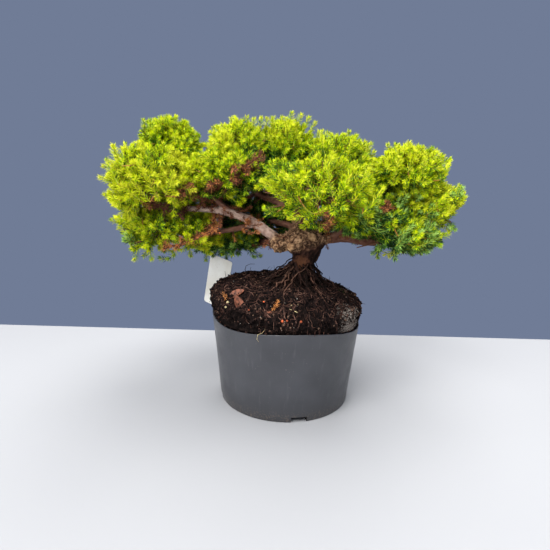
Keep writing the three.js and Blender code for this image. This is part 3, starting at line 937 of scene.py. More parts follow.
class Growth:
    """Twigs of one mass: spray twigs, branchlets and shoots."""

    def __init__(self, mass, index):
        self.centre, self.half = SPACES[mass]
        self.rng = np.random.default_rng(SEED * (index + 1))
        self.sprays, self.branchlets, self.shoots = [], [], []
        draw = seeded(SEED * (index + 1))
        outwards = math.atan2(self.centre[1], self.centre[0])
        for k in range(SPRAYS_PER_MASS):
            reach = between(REACH, next(draw))
            turn = next(draw) * math.pi
            self.spray(mass, spray_direction(k, outwards), reach, turn)
        self.branchlets = np.concatenate(self.branchlets)
        self.shoots = np.concatenate(self.shoots)

    def spray(self, mass, direction, reach, turn):
        rng = self.rng
        root = self.centre + self.half * (direction - LIFT * UP) * ROOT_SHARE
        tip = self.centre + self.half * direction * reach
        self.sprays.append(np.stack([self.centre, root, (root + tip) / 2, tip]))

        directions, share = fan(direction, turn, rng)
        count = len(share)
        squared = (np.abs(directions) ** SPACE_SQUARENESS).sum(1) ** (-1 / SPACE_SQUARENESS)
        surface = self.centre + self.half * directions * squared[:, None]
        uneven = 1 + UNEVEN_REACH * fractal(surface, UNEVEN_GRAIN, 2) - DOME * share**2
        uneven = uneven * rng.uniform(*REACH_VARIETY, count)
        ends = self.centre + (surface - self.centre) * (reach * uneven)[:, None]
        ends[:, 2] = np.minimum(ends[:, 2], self.centre[2] + FLAT_TOP * self.half[2])
        starts = root + (tip - root) * between(BRANCHLET_START, share)[:, None]
        self.branchlets.append(np.stack([starts, ends], 1))

        axis = unit(ends - starts)
        # Painted light: sprays that face up are dealt lighter colours
        level = LEVEL_MIDDLE + PAINTED_TOP_LIGHT * directions[:, 2] + rng.normal(0, SPRAY_VARIETY)
        level = level + rng.normal(0, BRANCHLET_VARIETY, count)
        outside = lengths((ends - FOLIAGE_MIDDLE) / FOLIAGE_HALF)
        # Painted shade and light by mass, and painted shade deep in the crown
        level = level - MASS_PAINTED_SHADES.get(mass, 0) - INNER_SHADE * smooth_step(outside, *INNER_REACH)
        blue = rng.uniform(0, 1, count) < GLAUCOUS_SHARES.get(mass, 0)
        blue &= directions[:, 2] < GLAUCOUS_TOP
        length = np.minimum(END_SHOOT, END_SHARE * lengths(ends - starts)[:, None])
        self.add(ends - axis * length, ends + END_RISE * UP, level, blue, True)

        axes = square_axes(axis)
        for side in range(SIDE_SHOOTS):
            at = SIDE_START + SIDE_SPAN * side / SIDE_SHOOTS + rng.uniform(0, SIDE_SCATTER, count)
            around = turn + side * GOLDEN_ANGLE * 2 + rng.normal(0, SHOOT_SCATTER, count)
            angle = SHOOT_ANGLE * rng.uniform(*SHOOT_ANGLE_VARIETY, count)
            heading = turned(axis, turned(*axes, around), angle) + SHOOT_RISE * UP
            length = between(SHOOT_LENGTH, at) * rng.uniform(*SHOOT_LENGTH_VARIETY, count)
            begin = starts + (ends - starts) * at[:, None]
            end = begin + unit(heading) * length[:, None]
            # Painted shade: side shoots nearer the branchlet's base are dealt darker colours
            self.add(begin, end, level - SIDE_SHADING * (SIDE_SHADING_TOP - at), blue, False)

    def add(self, begin, end, level, blue, leading):
        """Adds a shoot to each branchlet of the last spray."""
        shoots = np.empty(len(level), SHOOT)
        shoots["line"] = np.stack([begin, end], 1)
        shoots["level"] = level
        shoots["blue"] = blue
        shoots["internode"] = INTERNODE
        last = BRANCHLETS_PER_SPRAY * len(self.branchlets)
        shoots["bearer"] = np.arange(last - BRANCHLETS_PER_SPRAY, last)
        shoots["leading"] = leading
        self.shoots.append(shoots)

    def keep(self, kept):
        """Keeps these shoots, and each branchlet that bears two or more as far as its last one."""
        bearer = self.shoots["bearer"]
        counts = np.bincount(bearer[kept], minlength=len(self.branchlets))
        kept = kept & (counts[bearer] >= 2)
        bearing = np.unique(bearer[kept])
        for k in np.setdiff1d(bearing, bearer[kept & self.shoots["leading"]]):
            begins = self.shoots["line"][kept & (bearer == k), 0]
            reach = lengths(begins - self.branchlets[k, 0])
            self.branchlets[k, 1] = begins[np.argmax(reach)]
        self.branchlets = self.branchlets[bearing]
        self.sprays = np.stack(self.sprays)[np.unique(bearing // BRANCHLETS_PER_SPRAY)]
        self.shoots = self.shoots[kept]

    def hang(self, shoots, bases):
        """Adds shoots that stand out of the mass, on twigs from the nearest branchlets."""
        near = self.branchlets.reshape(-1, 3)
        nearest = np.argmin(lengths(bases[:, None] - near), 1)
        twigs = np.stack([near[nearest], bases], 1)
        self.branchlets = np.concatenate([self.branchlets, twigs])
        self.shoots = np.concatenate([self.shoots, shoots])


def needles(shoots, rng, internode=INTERNODE, size=1.0):
    """Needles in whorls on shoots: (corners of each, shoot of each, place along it)."""
    spaces = lengths(shoots[:, 1] - shoots[:, 0]) / internode
    whorls = np.maximum(2, np.round(spaces)).astype(int)
    shoot = np.repeat(np.arange(len(shoots)), whorls)
    place = np.concatenate([1 - (1 - (np.arange(n) + 0.9) / n) ** TIP_CROWDING for n in whorls])
    turn = np.repeat(rng.uniform(0, 2 * math.pi, len(shoots)), whorls)
    turn = turn + np.concatenate([np.arange(n) * math.pi / WHORL for n in whorls])

    shoot, place, turn = (np.repeat(values, WHORL) for values in (shoot, place, turn))
    turn = turn + np.tile([0, 2 * math.pi / 3, 4 * math.pi / 3], len(turn) // WHORL)
    turn = turn + rng.normal(0, NEEDLE_SCATTER, len(turn))

    start, end = shoots[shoot, 0], shoots[shoot, 1]
    middle = sagged(start, end, SHOOT_BEND)
    t = place[:, None]
    base = on_curve(start, middle, end, t)
    axis = unit((1 - t) * (middle - start) + t * (end - middle))
    outward = turned(*square_axes(axis), turn)

    opening = between(NEEDLE_OPENING, place**2) * rng.uniform(*NEEDLE_OPENING_VARIETY, len(place))
    along = unit(turned(axis, outward, opening))
    face = unit(axis - (axis * along).sum(-1, keepdims=True) * along)
    across = np.cross(face, along)
    length = NEEDLE_LENGTH * (1 - TIP_SHORTENING * place**4) * size
    length = length * rng.uniform(*NEEDLE_LENGTH_VARIETY, len(place))
    waist = base + along * (length * NEEDLE_WAIST)[:, None] - face * NEEDLE_FOLD
    half = across * size * NEEDLE_WIDTH / 2
    corners = np.stack([base, base + along * length[:, None], waist - half, waist + half], 1)
    return corners, shoot, place


def foliage(limb_skin):
    living = plain_materials("needle", LIVING_COLOURS, 0.5, 0.12)
    glaucous = plain_materials("glaucous", GLAUCOUS_COLOURS, 0.55, 0.15)
    dead = plain_materials("withered", DEAD_COLOURS, 0.75, 0.2)
    twigs = Parts()
    wood, brown_bark, green_bark = range(len(TWIG_COLOURS))
    pieces = {}
    for index, (mass, (bough, piece_name)) in enumerate(MASSES.items()):
        growth = Growth(mass, index)
        growth.keep(kept_shoots(mass, growth.shoots["line"], limb_skin))
        growth.hang(*stray_shoots(mass))
        shoots = growth.shoots
        corners, shoot, place = needles(shoots["line"], growth.rng, shoots["internode"])
        # Painted shade in the shaded spots, and towards each shoot's base partly painted shade
        shade = SPOT_SHADE * in_spots(shoots["line"][:, 1], SHADED_SPOTS)
        level = (shoots["level"] - shade)[shoot] + NEEDLE_SHADING * (place - SHADING_MIDDLE)
        level = level + growth.rng.normal(0, NEEDLE_VARIETY, len(shoot))
        green = np.clip(np.round(level), 0, len(living) - 1)
        blue = np.clip(np.round(level / 2 - 0.4), 0, len(glaucous) - 1) + len(living)
        brown = growth.rng.choice(len(dead), len(shoot), p=DEAD_SHARES) + len(living + glaucous)
        deal = np.where(shoots["blue"][shoot], blue, green)
        deal = np.where(withered(growth)[shoot], brown, deal).astype(int)
        pieces.setdefault(piece_name, Parts()).add(corners, NEEDLE_FACES, deal)
        stem = np.stack([bough_tip(bough, growth.centre), growth.centre])
        twigs.add_twigs(stem[None], STEM_BEND, STEM_RADII, sides=7, material=wood)
        twigs.add_tubes(growth.sprays, SPRAY_RADII, sides=4, material=wood)
        branchlets = curved(growth.branchlets, len(BRANCHLET_RADII), BRANCHLET_BEND)
        twigs.add_tubes(branchlets, BRANCHLET_RADII, sides=3, material=brown_bark)
        twigs.add_twigs(shoots["line"], SHOOT_BEND, SHOOT_RADII, sides=3, material=green_bark)
    for piece_name, parts in pieces.items():
        piece = parts.piece(piece_name, living + glaucous + dead)
        borne = [mass for mass in MASSES if MASSES[mass][1] == piece_name]
        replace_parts(piece, *(f"{mass}_foliage" for mass in borne))
    piece = twigs.piece("twigs", plain_materials("twig", TWIG_COLOURS, 0.75, 0.2))


def stray_shoots(mass):
    """Shoots that stand out of a mass, and the points where they start."""
    shoots, bases = [], []
    for level, *pixels in STRAY_SHOOTS.get(mass, []):
        path = [in_mass(mass, pixel, STRAY_FORWARD) for pixel in pixels]
        bases.append(path[0])
        shoots += [(pair, level, False, INTERNODE, 0, False) for pair in zip(path[:-1], path[1:])]
    for level, *pixels in FEATHER_SHOOTS.get(mass, []):
        pair = tuple(front_of(mass, pixel) for pixel in pixels)
        bases.append(pair[0])
        blue = mass in GLAUCOUS_FEATHERS
        shoots.append((pair, level, blue, FEATHER_INTERNODE, 0, False))
    return np.array(shoots, SHOOT), np.array(bases).reshape(-1, 3)


def hiding(points, limb_skin):
    """Which of these points hide a limb where the photograph shows it."""
    pixels = pixels_of(points)
    inside = np.zeros(len(points), bool)
    for low, high in SHOWN_LIMBS:
        inside |= ((pixels > np.array(low)) & (pixels < np.array(high))).all(1)
    for k in np.flatnonzero(inside):
        sight = Vector(unit(points[k] - CAMERA_AT))
        around = [(0, 0), (-1, 0), (1, 0), (0, -1), (0, 1)]
        offsets = [SIGHT_MARGIN * (x * CAMERA_RIGHT + z * CAMERA_UP) for x, z in around]
        hits = [limb_skin.ray_cast(Vector(points[k] + offset), sight)[0] for offset in offsets]
        inside[k] = any(hit is not None for hit in hits)
    return inside


def withered(growth):
    """Which shoots of a mass are dead: those that face the camera where the picture shows it."""
    tips = growth.shoots["line"][:, 1]
    dead = in_spots(tips, WITHERED_SPOTS) & (tips[:, 1] < growth.centre[1] + WITHERED_BACK)
    return dead & (growth.rng.uniform(0, 1, len(tips)) < WITHERED_SHARE)


def kept_shoots(mass, shoots, limb_skin):
    """Leaves out shoots deep in another mass's space, in open sky, or that touch or hide a limb."""
    tips = shoots[:, 1]
    own = depth_in(mass, tips)
    kept = ~in_spots(tips, SKY_SPOTS)
    for other in MASSES:
        if other != mass:
            depth = depth_in(other, tips)
            kept &= ~((depth < BURIED_DEPTH) & (depth < own))
    for k in np.flatnonzero(kept):
        for share in (0.5, 1.0):
            point = Vector(between(shoots[k], share))
            if limb_skin.find_nearest(point, LIMB_CLEARANCE)[0] is not None:
                kept[k] = False
    return kept & ~hiding(tips, limb_skin) & ~hiding(shoots.mean(1), limb_skin)


def dead_sprays(limb_skin, rng):
    """The dead sprays that the picture shows, each from the nearest limb, with their tones."""
    shoots, tones = [], []
    for mass, forward, pixels, tone in DEAD_SPRAYS:
        path = [in_mass(mass, pixel, forward) for pixel in pixels]
        path = np.array([np.array(limb_skin.find_nearest(path[0])[0]), *path])
        twigs = np.stack([path[:-1], path[1:]], 1)
        begin = np.repeat(twigs[1:, 0], DEAD_SIDE_SHOOTS, 0)
        along = np.repeat(twigs[1:, 1] - twigs[1:, 0], DEAD_SIDE_SHOOTS, 0)
        begin = begin + along * rng.uniform(0, 1, (len(along), 1))
        heading = unit(unit(along) + rng.normal(0, DEAD_SIDE_SCATTER, along.shape))
        length = rng.uniform(*DEAD_SIDE_LENGTH, (len(along), 1))
        shoots += [twigs, np.stack([begin, begin + heading * length], 1)]
        darker = rng.uniform(0, 1, len(twigs) + len(begin)) < DARKER_SHARE
        tones.append(np.maximum(tone - darker, 0))
    return np.concatenate(shoots), np.concatenate(tones)


def dead_sprigs(limb_skin):
    """Brown sprigs that stand on the shaded boughs, bark to tip."""
    rng = np.random.default_rng(SEED)
    shoots, tones = [], []
    for bough, count in DEAD_SPRIGS.items():
        corners, _, normals = arrays_of(solid(f"{bough}_bough").data)
        chosen = rng.integers(0, len(corners), count)
        along = unit(corners[chosen] - corners.mean(0))
        heading = normals[chosen] + DEAD_ALONG * along + rng.normal(0, DEAD_SCATTER, (count, 3))
        heading = unit(heading * DEAD_SPREAD)
        length = rng.uniform(*DEAD_LENGTH, (count, 1))
        shoots.append(np.stack([corners[chosen], corners[chosen] + heading * length], 1))
        tones.append(rng.integers(0, 2, count) + (bough in ORANGE_SPRIGS))
    spray_shoots, spray_tones = dead_sprays(limb_skin, rng)
    shoots = np.concatenate([*shoots, spray_shoots])
    tones = np.concatenate([*tones, spray_tones])
    corners, shoot, _ = needles(shoots, rng, DEAD_INTERNODE, DEAD_SIZE)
    parts = Parts()
    parts.add(corners, NEEDLE_FACES, tones[shoot])
    parts.add_twigs(shoots, SHOOT_BEND, DEAD_RADII, sides=4, material=0)
    piece = parts.piece("dead_sprigs", plain_materials("dead", DEAD_COLOURS, 0.75, 0.2))


# Pot: a turned shell with the wavy, hand-cut rim and the drain slots of the solid

POT_SIDES = 192
POT_ROWS = 12
POT_UNEVEN = 0.25 * MM
RIM_RAGGED = 0.3 * MM
RIM_ROUND = 0.4 * MM
FOOT_ROUND = 1.2 * MM
SHARP_EDGE = math.radians(40)
SLOT_DEPTH = 8 * MM
SLOT_HEIGHTS = (3.5 * MM, 12 * MM)
SLOT_GAP = math.radians(20)
BOX_FACES = np.array([
    (0, 1, 3), (0, 3, 2), (4, 6, 7), (4, 7, 5), (0, 4, 5), (0, 5, 1),
    (2, 3, 7), (2, 7, 6), (1, 5, 7), (1, 7, 3), (0, 2, 6), (0, 6, 4),
])


def pot_corners():
    """Corners of the pot's solid, their radius, and which are on the outer and inner rim."""
    corners = corners_of("pot")
    radius = np.hypot(corners[:, 0], corners[:, 1])
    top = corners[:, 2] > corners[:, 2].max() / 2
    outer = top & (radius > radius[top].mean())
    return corners, radius, outer, top & ~outer


def pot():
    corners, radius, outer, inner = pot_corners()
    angle = np.arctan2(corners[outer, 1], corners[outer, 0])
    order = np.argsort(angle)
    base = radius[corners[:, 2] < 0.1 * MM].max()
    slope = ((radius[outer] - base) / corners[outer, 2]).mean()
    wall = radius[outer].mean() - radius[inner].mean()
    floor = np.unique(corners[radius < base - 5 * MM, 2].round(5))[-1]

    angles = 2 * math.pi * np.arange(POT_SIDES) / POT_SIDES - math.pi
    rim = np.interp(angles, angle[order], corners[outer, 2][order], period=2 * math.pi)
    circle = np.stack([np.cos(angles), np.sin(angles), np.zeros(POT_SIDES)], 1)
    rim = rim + RIM_RAGGED * fractal(circle * base, 5)
    below = rim - RIM_ROUND

    # Rows of the shell as (radius, height), from under the foot up the wall and down inside
    rows = [(base - 2 * FOOT_ROUND, 0.0), (base - FOOT_ROUND, 0.0)]
    rows.append((base - 0.3 * FOOT_ROUND, 0.3 * FOOT_ROUND))
    for share in np.linspace(0, 1, POT_ROWS + 1):
        height = np.maximum(FOOT_ROUND, below * share)
        rows.append((base + slope * height, height))
    rows += [(base + slope * rim - share * wall, rim) for share in (0.3, 0.7)]
    for height in [below, *(between((floor, rim), share) for share in (0.8, 0.5, 0.2)), floor]:
        rows.append((base + slope * height - wall, height))

    points = []
    for reach, height in rows:
        reach, height = np.full(POT_SIDES, reach), np.full(POT_SIDES, height)
        ring = circle * reach[:, None] + UP * height[:, None]
        uneven = POT_UNEVEN * fractal(ring, 40, 2) * (height > FOOT_ROUND)
        points.append(ring + circle * uneven[:, None])
    corners = np.concatenate(points + [np.zeros((1, 3)), floor * UP[None]])
    triangles = ring_triangles(len(points), POT_SIDES)
    under, inside = len(corners) - 2, len(corners) - 1
    last = (len(points) - 1) * POT_SIDES
    for k in range(POT_SIDES):
        step = (k + 1) % POT_SIDES
        triangles += [(under, step, k), (inside, last + k, last + step)]
    piece = mesh_piece("nursery_pot", corners, np.array(triangles), [pot_material()], smooth=True)
    cut_slots(piece, base)
    piece.data.set_sharp_from_angle(angle=SHARP_EDGE)
    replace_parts(piece, "pot")


def cut_slots(piece, base):
    """Cuts the drain slots out of the foot, where the solid has them."""
    corners = corners_of("pot")
    low = (corners[:, 2] > SLOT_HEIGHTS[0]) & (corners[:, 2] < SLOT_HEIGHTS[1])
    height = corners[low, 2].max()
    angles = np.sort(np.arctan2(corners[low, 1], corners[low, 0]))
    gaps = np.append(np.diff(angles), angles[0] + 2 * math.pi - angles[-1])
    start = (int(np.argmax(gaps)) + 1) % len(angles)
    angles = np.unwrap(np.roll(angles, -start))
    breaks = np.flatnonzero(np.diff(angles) > SLOT_GAP) + 1
    cutter_parts = Parts()
    for slot in np.split(angles, breaks):
        out = level_heading(slot.mean())
        across = np.cross(UP, out) * base * math.sin(np.ptp(slot) / 2)
        box = [
            out * reach + across * side + UP * z
            for reach in (base - SLOT_DEPTH, base + SLOT_DEPTH)
            for side in (-1, 1)
            for z in (-SLOT_DEPTH, height)
        ]
        cutter_parts.add(np.array(box)[None], BOX_FACES, 0)
    cutter = cutter_parts.piece("slot_cutter", [painted_slot_shade_material()])
    cut = piece.modifiers.new("slots", "BOOLEAN")
    cut.operation = "DIFFERENCE"
    cut.solver = "EXACT"
    cut.material_mode = "TRANSFER"
    cut.object = cutter
    evaluated = piece.evaluated_get(bpy.context.evaluated_depsgraph_get())
    mesh = bpy.data.meshes.new_from_object(evaluated)
    piece.modifiers.clear()
    piece.data = mesh
    bpy.data.objects.remove(cutter)


def pot_material():
    pattern = Pattern("pot_plastic", (68, 69, 73), 0.42, 0.5)
    cloud = pattern.ramp(pattern.noise(35, 3), [(0.3, (49, 50, 54)), (0.7, (61, 62, 66))])
    cloud = pattern.specked(cloud, (96, 97, 100), (5, 5, (1, 1, 9)), 0.6, 0.75, 0.25)
    # Darker towards the foot: painted shade and painted reflection
    foot = pattern.range(pattern.height(), 2 * MM, 36 * MM, 0.6, 0.0)
    cloud = pattern.mix(foot, cloud, (40, 40, 42))
    cloud = pattern.specked(cloud, (138, 132, 124), (1.3, 2), 0.72, 0.76, 0.5)
    dirty = pattern.specked(cloud, (116, 100, 84), (1.7, 4), 0.54, 0.64, 0.6)
    splashed = pattern.range(pattern.height(), 4 * MM, 15 * MM, 0.8, 0.0)
    cloud = pattern.mix(splashed, cloud, dirty)
    pattern.colour(cloud)
    pattern.roughness(pattern.range(pattern.noise(14, 4), 0.3, 0.7, 0.32, 0.46))
    pattern.bump(pattern.noise(0.8, 3), 0.04)
    return pattern.material


def painted_slot_shade_material():
    """Painted shade in the drain slots, mottled in soil browns."""
    pattern = Pattern("drain_slot_painted_shade", (14, 11, 11), 0.95, 0.05)
    pattern.colour(pattern.ramp(pattern.noise(2, 4), [(0.35, (5, 4, 4)), (0.7, (24, 19, 17))]))
    return pattern.material


def label():
    pattern = Pattern("label_plastic", (232, 229, 220), 0.45, 0.4)
    dirt = pattern.ramp(pattern.noise(22, 5), [(0.35, (236, 234, 226)), (0.7, (222, 217, 204))])
    pattern.colour(pattern.specked(dirt, (140, 118, 92), (1.6, 3), 0.68, 0.74, 0.5))
    pattern.roughness(pattern.range(pattern.noise(9, 3), 0.3, 0.7, 0.35, 0.55))
    node = solid("plant_label")
    node.data.materials.clear()
    node.data.materials.append(pattern.material)


# Soil with what lies on it

SOIL_VOXEL = 1.3 * MM
SOIL_SMOOTHING = 2
SOIL_COVER = 12 * MM
RIM_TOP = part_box("pot")[1].z
STRAND_VARIETY = (0.4, 1)
OPEN_SOIL = (RIM_TOP - 1 * MM, RIM_TOP + 4 * MM)
MOULD_PATCH = ((351, 321), 20 * MM)
MOSS_PATCH = ((341, 290), 11 * MM)
CRUMB_COLOURS = [
    (13, 10, 10), (24, 18, 17), (40, 29, 26), (62, 45, 39), (100, 78, 64), (186, 178, 166),
]
CRUMB_SHARES = [0.36, 0.27, 0.18, 0.1, 0.06, 0.03]
CRUMBS = 5200
CRUMB_SIZE = (0.5 * MM, 1.8 * MM)
CRUMB_POWER = 0.45
CRUMB_LIFT = 0.25
LUMP_REACH = (0.55, 1.25)
RIM_CRUMBS = 900
RIM_CRUMB_SIZE = 0.8
RIM_CRUMB_REACH = 1.2 * MM
RIM_CRUMB_RISE = (-0.6 * MM, 1.4 * MM)
FIBRES = 1900
FIBRE_LENGTH = (6 * MM, 20 * MM)
FIBRE_RADIUS = (0.22, 0.5)
FIBRE_TAPER = np.array([1, 1, 0.9, 0.7, 0.4]) * MM
FIBRE_SCATTER = 0.8
FIBRE_WANDER = 0.6
FIBRE_LIFT = 0.2 * MM
FIBRE_COLOURS = [(40, 27, 23), (68, 46, 39), (104, 76, 65)]
FIBRE_SHARES = [0.5, 0.36, 0.14]
WHISKERS = 160
WHISKER_LENGTH = (3 * MM, 9 * MM)
WHISKER_SCATTER = 0.6
WHISKER_BEND = (-0.3, 0.3)
WHISKER_RADII = np.array([0.3, 0.28, 0.24, 0.2, 0.12]) * MM
LUMP_FACES = np.array(
    [(0, 1, 2), (0, 5, 1), (0, 2, 4), (0, 4, 5), (3, 2, 1), (3, 1, 5), (3, 4, 2), (3, 5, 4)]
)


def soil():
    corners, triangles = joined([solid("soil")])
    corners[:, 2] = np.maximum(corners[:, 2], RIM_TOP - SOIL_COVER)
    corners, triangles, normals = remeshed(corners, triangles, SOIL_VOXEL, SOIL_SMOOTHING)
    free = smooth_step(corners[:, 2], *OPEN_SOIL)
    clods = fractal(corners, 11)
    lumps = fractal(corners + 0.2, 4.2)
    grit = fractal(corners + 0.4, 2.0, 2)
    lift = 2.8 * clods + 2.2 * lumps + 1.0 * grit - 0.8
    corners = corners + normals * (free * lift * MM)[:, None]
    piece = mesh_piece("potting_soil", corners, triangles, [soil_material()], smooth=True)
    skin = skin_of(piece)
    mould = patch(corners, MOULD_PATCH, skin, grit)
    moss = patch(corners, MOSS_PATCH, skin, grit)
    # Darker dips and lighter lump tops: partly the peat's own tone, partly painted shade
    relief = np.clip(0.5 + 0.35 * lumps + 0.3 * grit, 0, 1)
    store(piece, relief=relief, mould=mould, moss=moss)
    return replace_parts(piece, "soil")


def soil_material():
    pattern = Pattern("potting_soil", (40, 28, 22), 0.95, 0.02)
    # Darker dips and lighter lump tops: partly the peat's own tone, partly painted shade
    relief = pattern.attribute("relief")
    peat = pattern.ramp(
        relief, [(0.15, (5, 4, 4)), (0.5, (17, 13, 12)), (0.8, (32, 24, 22)), (1.0, (52, 39, 35))]
    )
    peat = pattern.specked(peat, (66, 50, 44), (1.1, 3), 0.62, 0.7, 0.4)
    peat = pattern.mix_by("moss", 0.55, peat, (48, 74, 26))
    mould = pattern.ramp(pattern.noise(1.4, 4), [(0.4, (44, 37, 33)), (0.6, (148, 138, 128))])
    peat = pattern.mix_by("mould", 0.85, peat, mould)
    pattern.colour(peat)
    pattern.bump(pattern.noise(0.9, 4), 0.5)
    return pattern.material


def scattered(piece, count, rng):
    """Random points on the open soil, with the normal at each."""
    corners, triangles, _ = arrays_of(piece.data)
    low = corners[triangles][:, :, 2].min(1)
    open_top = triangles[low > RIM_TOP + 0.5 * MM]
    a, b, c = (corners[open_top[:, k]] for k in range(3))
    square = np.cross(b - a, c - a)
    area = lengths(square)
    chosen = rng.choice(len(open_top), count, p=area / area.sum())
    u, v = rng.uniform(0, 1, (2, count, 1))
    u, v = np.where(u + v > 1, 1 - u, u), np.where(u + v > 1, 1 - v, v)
    points = a[chosen] + u * (b - a)[chosen] + v * (c - a)[chosen]
    return points, square[chosen] / area[chosen][:, None]


def rim_points(count, rng):
    """Random points between the soil and the rim, just above the rim's inner edge."""
    corners, radius, _, inner = pot_corners()
    inner = np.flatnonzero(inner)
    chosen = rng.choice(inner, count)
    angle = np.arctan2(corners[chosen, 1], corners[chosen, 0])
    angle += rng.uniform(-math.pi, math.pi, count) / len(inner)
    reach = radius[chosen] - rng.uniform(0, RIM_CRUMB_REACH, count)
    height = corners[chosen, 2] + rng.uniform(*RIM_CRUMB_RISE, count)
    return np.stack([reach * np.cos(angle), reach * np.sin(angle), height], 1)


def lumps_at(points, sizes, rng):
    """Small eight-sided lumps, each of its own uneven shape."""
    count = len(points)
    axes = np.linalg.qr(rng.normal(0, 1, (count, 3, 3)))[0]
    axes = axes * np.sign(np.linalg.det(axes))[:, None, None]
    reach = sizes[:, None, None] * rng.uniform(*LUMP_REACH, (count, 6, 1))
    ends = np.concatenate([axes, -axes], 1) * reach
    return points[:, None] + ends, LUMP_FACES


def litter(ground):
    """Crumbs of peat and bark, and fibres, that lie on the soil or stand up from it."""
    rng = np.random.default_rng(SEED + 1)
    parts = Parts()
    points, normals = scattered(ground, CRUMBS, rng)
    sizes = between(CRUMB_SIZE, rng.power(CRUMB_POWER, CRUMBS))
    tones = rng.choice(len(CRUMB_COLOURS), CRUMBS, p=CRUMB_SHARES)
    sizes = np.where(tones == len(CRUMB_COLOURS) - 1, CRUMB_SIZE[0], sizes)
    parts.add(*lumps_at(points + normals * sizes[:, None] * CRUMB_LIFT, sizes, rng), tones)
    points = rim_points(RIM_CRUMBS, rng)
    sizes = rng.uniform(*CRUMB_SIZE, RIM_CRUMBS) * RIM_CRUMB_SIZE
    parts.add(*lumps_at(points, sizes, rng), rng.integers(0, 4, RIM_CRUMBS))
    piece = parts.piece("soil_crumbs", plain_materials("crumb", CRUMB_COLOURS, 0.95, 0.02))

    skin = skin_of(ground)
    paths = []
    points, _ = scattered(ground, FIBRES, rng)
    low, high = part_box("trunk")
    middle = np.array(low + high) / 2
    for point in points:
        outward = point - middle
        heading = math.atan2(outward[1], outward[0]) + rng.normal(0, FIBRE_SCATTER)
        length = rng.uniform(*FIBRE_LENGTH) * rng.uniform(*STRAND_VARIETY)
        course = (heading, length, len(FIBRE_TAPER), FIBRE_WANDER, FIBRE_LIFT)
        paths.append(crawl(skin, point, *course, rng))
    radii = rng.uniform(*FIBRE_RADIUS, (FIBRES, 1)) * FIBRE_TAPER
    parts = Parts()
    tones = rng.choice(len(FIBRE_COLOURS), FIBRES, p=FIBRE_SHARES)
    parts.add_tubes(np.array(paths), radii, sides=3, material=tones)
    points, normals = scattered(ground, WHISKERS, rng)
    heading = unit(normals + rng.normal(0, WHISKER_SCATTER, points.shape))
    ends = points + heading * rng.uniform(*WHISKER_LENGTH, (WHISKERS, 1))
    bend = rng.uniform(*WHISKER_BEND)
    parts.add_twigs(np.stack([points, ends], 1), bend, WHISKER_RADII, sides=3, material=0)
    piece = parts.piece("soil_fibres", plain_materials("fibre", FIBRE_COLOURS, 0.9, 0.05))


def crawl(skin, start, heading, length, points, wander, lift, rng):
    """A path along the top of a surface from a point, in a wandering direction."""
    path = [start + lift * UP]
    step = length / (points - 1)
    place = start
    for _ in range(points - 1):
        heading += rng.normal(0, wander)
        ahead = place + step * level_heading(heading)
        hit = skin.ray_cast(Vector(ahead + 2 * step * UP), Vector((0, 0, -1)))[0]
        if hit is None or hit.z < RIM_TOP:
            heading += math.pi
            path.append(path[-1] - 0.5 * step * UP)
            continue
        place = np.array([ahead[0], ahead[1], max(hit.z, place[2] - 2.5 * step)])
        path.append(place + (lift + rng.uniform(0, 0.5) * MM) * UP)
    return path


# Roots leave the trunk at a height above the soil and reach the soil at a distance from its foot
ROOT_STRANDS = 210
ROOT_HEIGHT = (3 * MM, 25 * MM)
ROOT_SPREAD = (18 * MM, 54 * MM)
ROOT_THICKNESS = (0.35 * MM, 1.25 * MM)
ROOT_SCATTER = 0.15
ROOT_WANDER = 0.5
ROOT_CURL = 0.25
ROOT_WAVE = 1.3 * MM
ROOT_BEND = (-0.05, 0.16)
ROOT_LENGTH = (10 * MM, 36 * MM)
ROOT_POINTS = 8
ROOT_TAPER = np.linspace(1, 0.3, 2 * ROOT_POINTS - 1)
ROOT_COLOURS = [(22, 14, 11), (42, 27, 22), (84, 60, 49)]
ROOT_SHARES = [0.45, 0.37, 0.18]
ROOT_LOOK = dict(
    finish=(0.85, 0.08), shades=(0.55, 1.25), stops=(0.35, 0.65),
    grain=(3,), fine_grain=0.9, depth=0.25,
)

# Roots in the air: the pixels where each leaves the trunk and meets the soil, and its thickness
AERIAL_ROOTS = [
    ((294, 257), (263, 283), 0.8), ((294, 262), (257, 288), 1.1), ((294, 266), (281, 286), 0.7),
    ((312, 257), (321, 279), 0.7), ((309, 263), (318, 285), 0.9), ((306, 266), (308, 291), 0.5),
    ((298, 268), (292, 289), 0.6),
]
AERIAL_BEND = -0.08
AERIAL_WAVE = 0.6 * MM


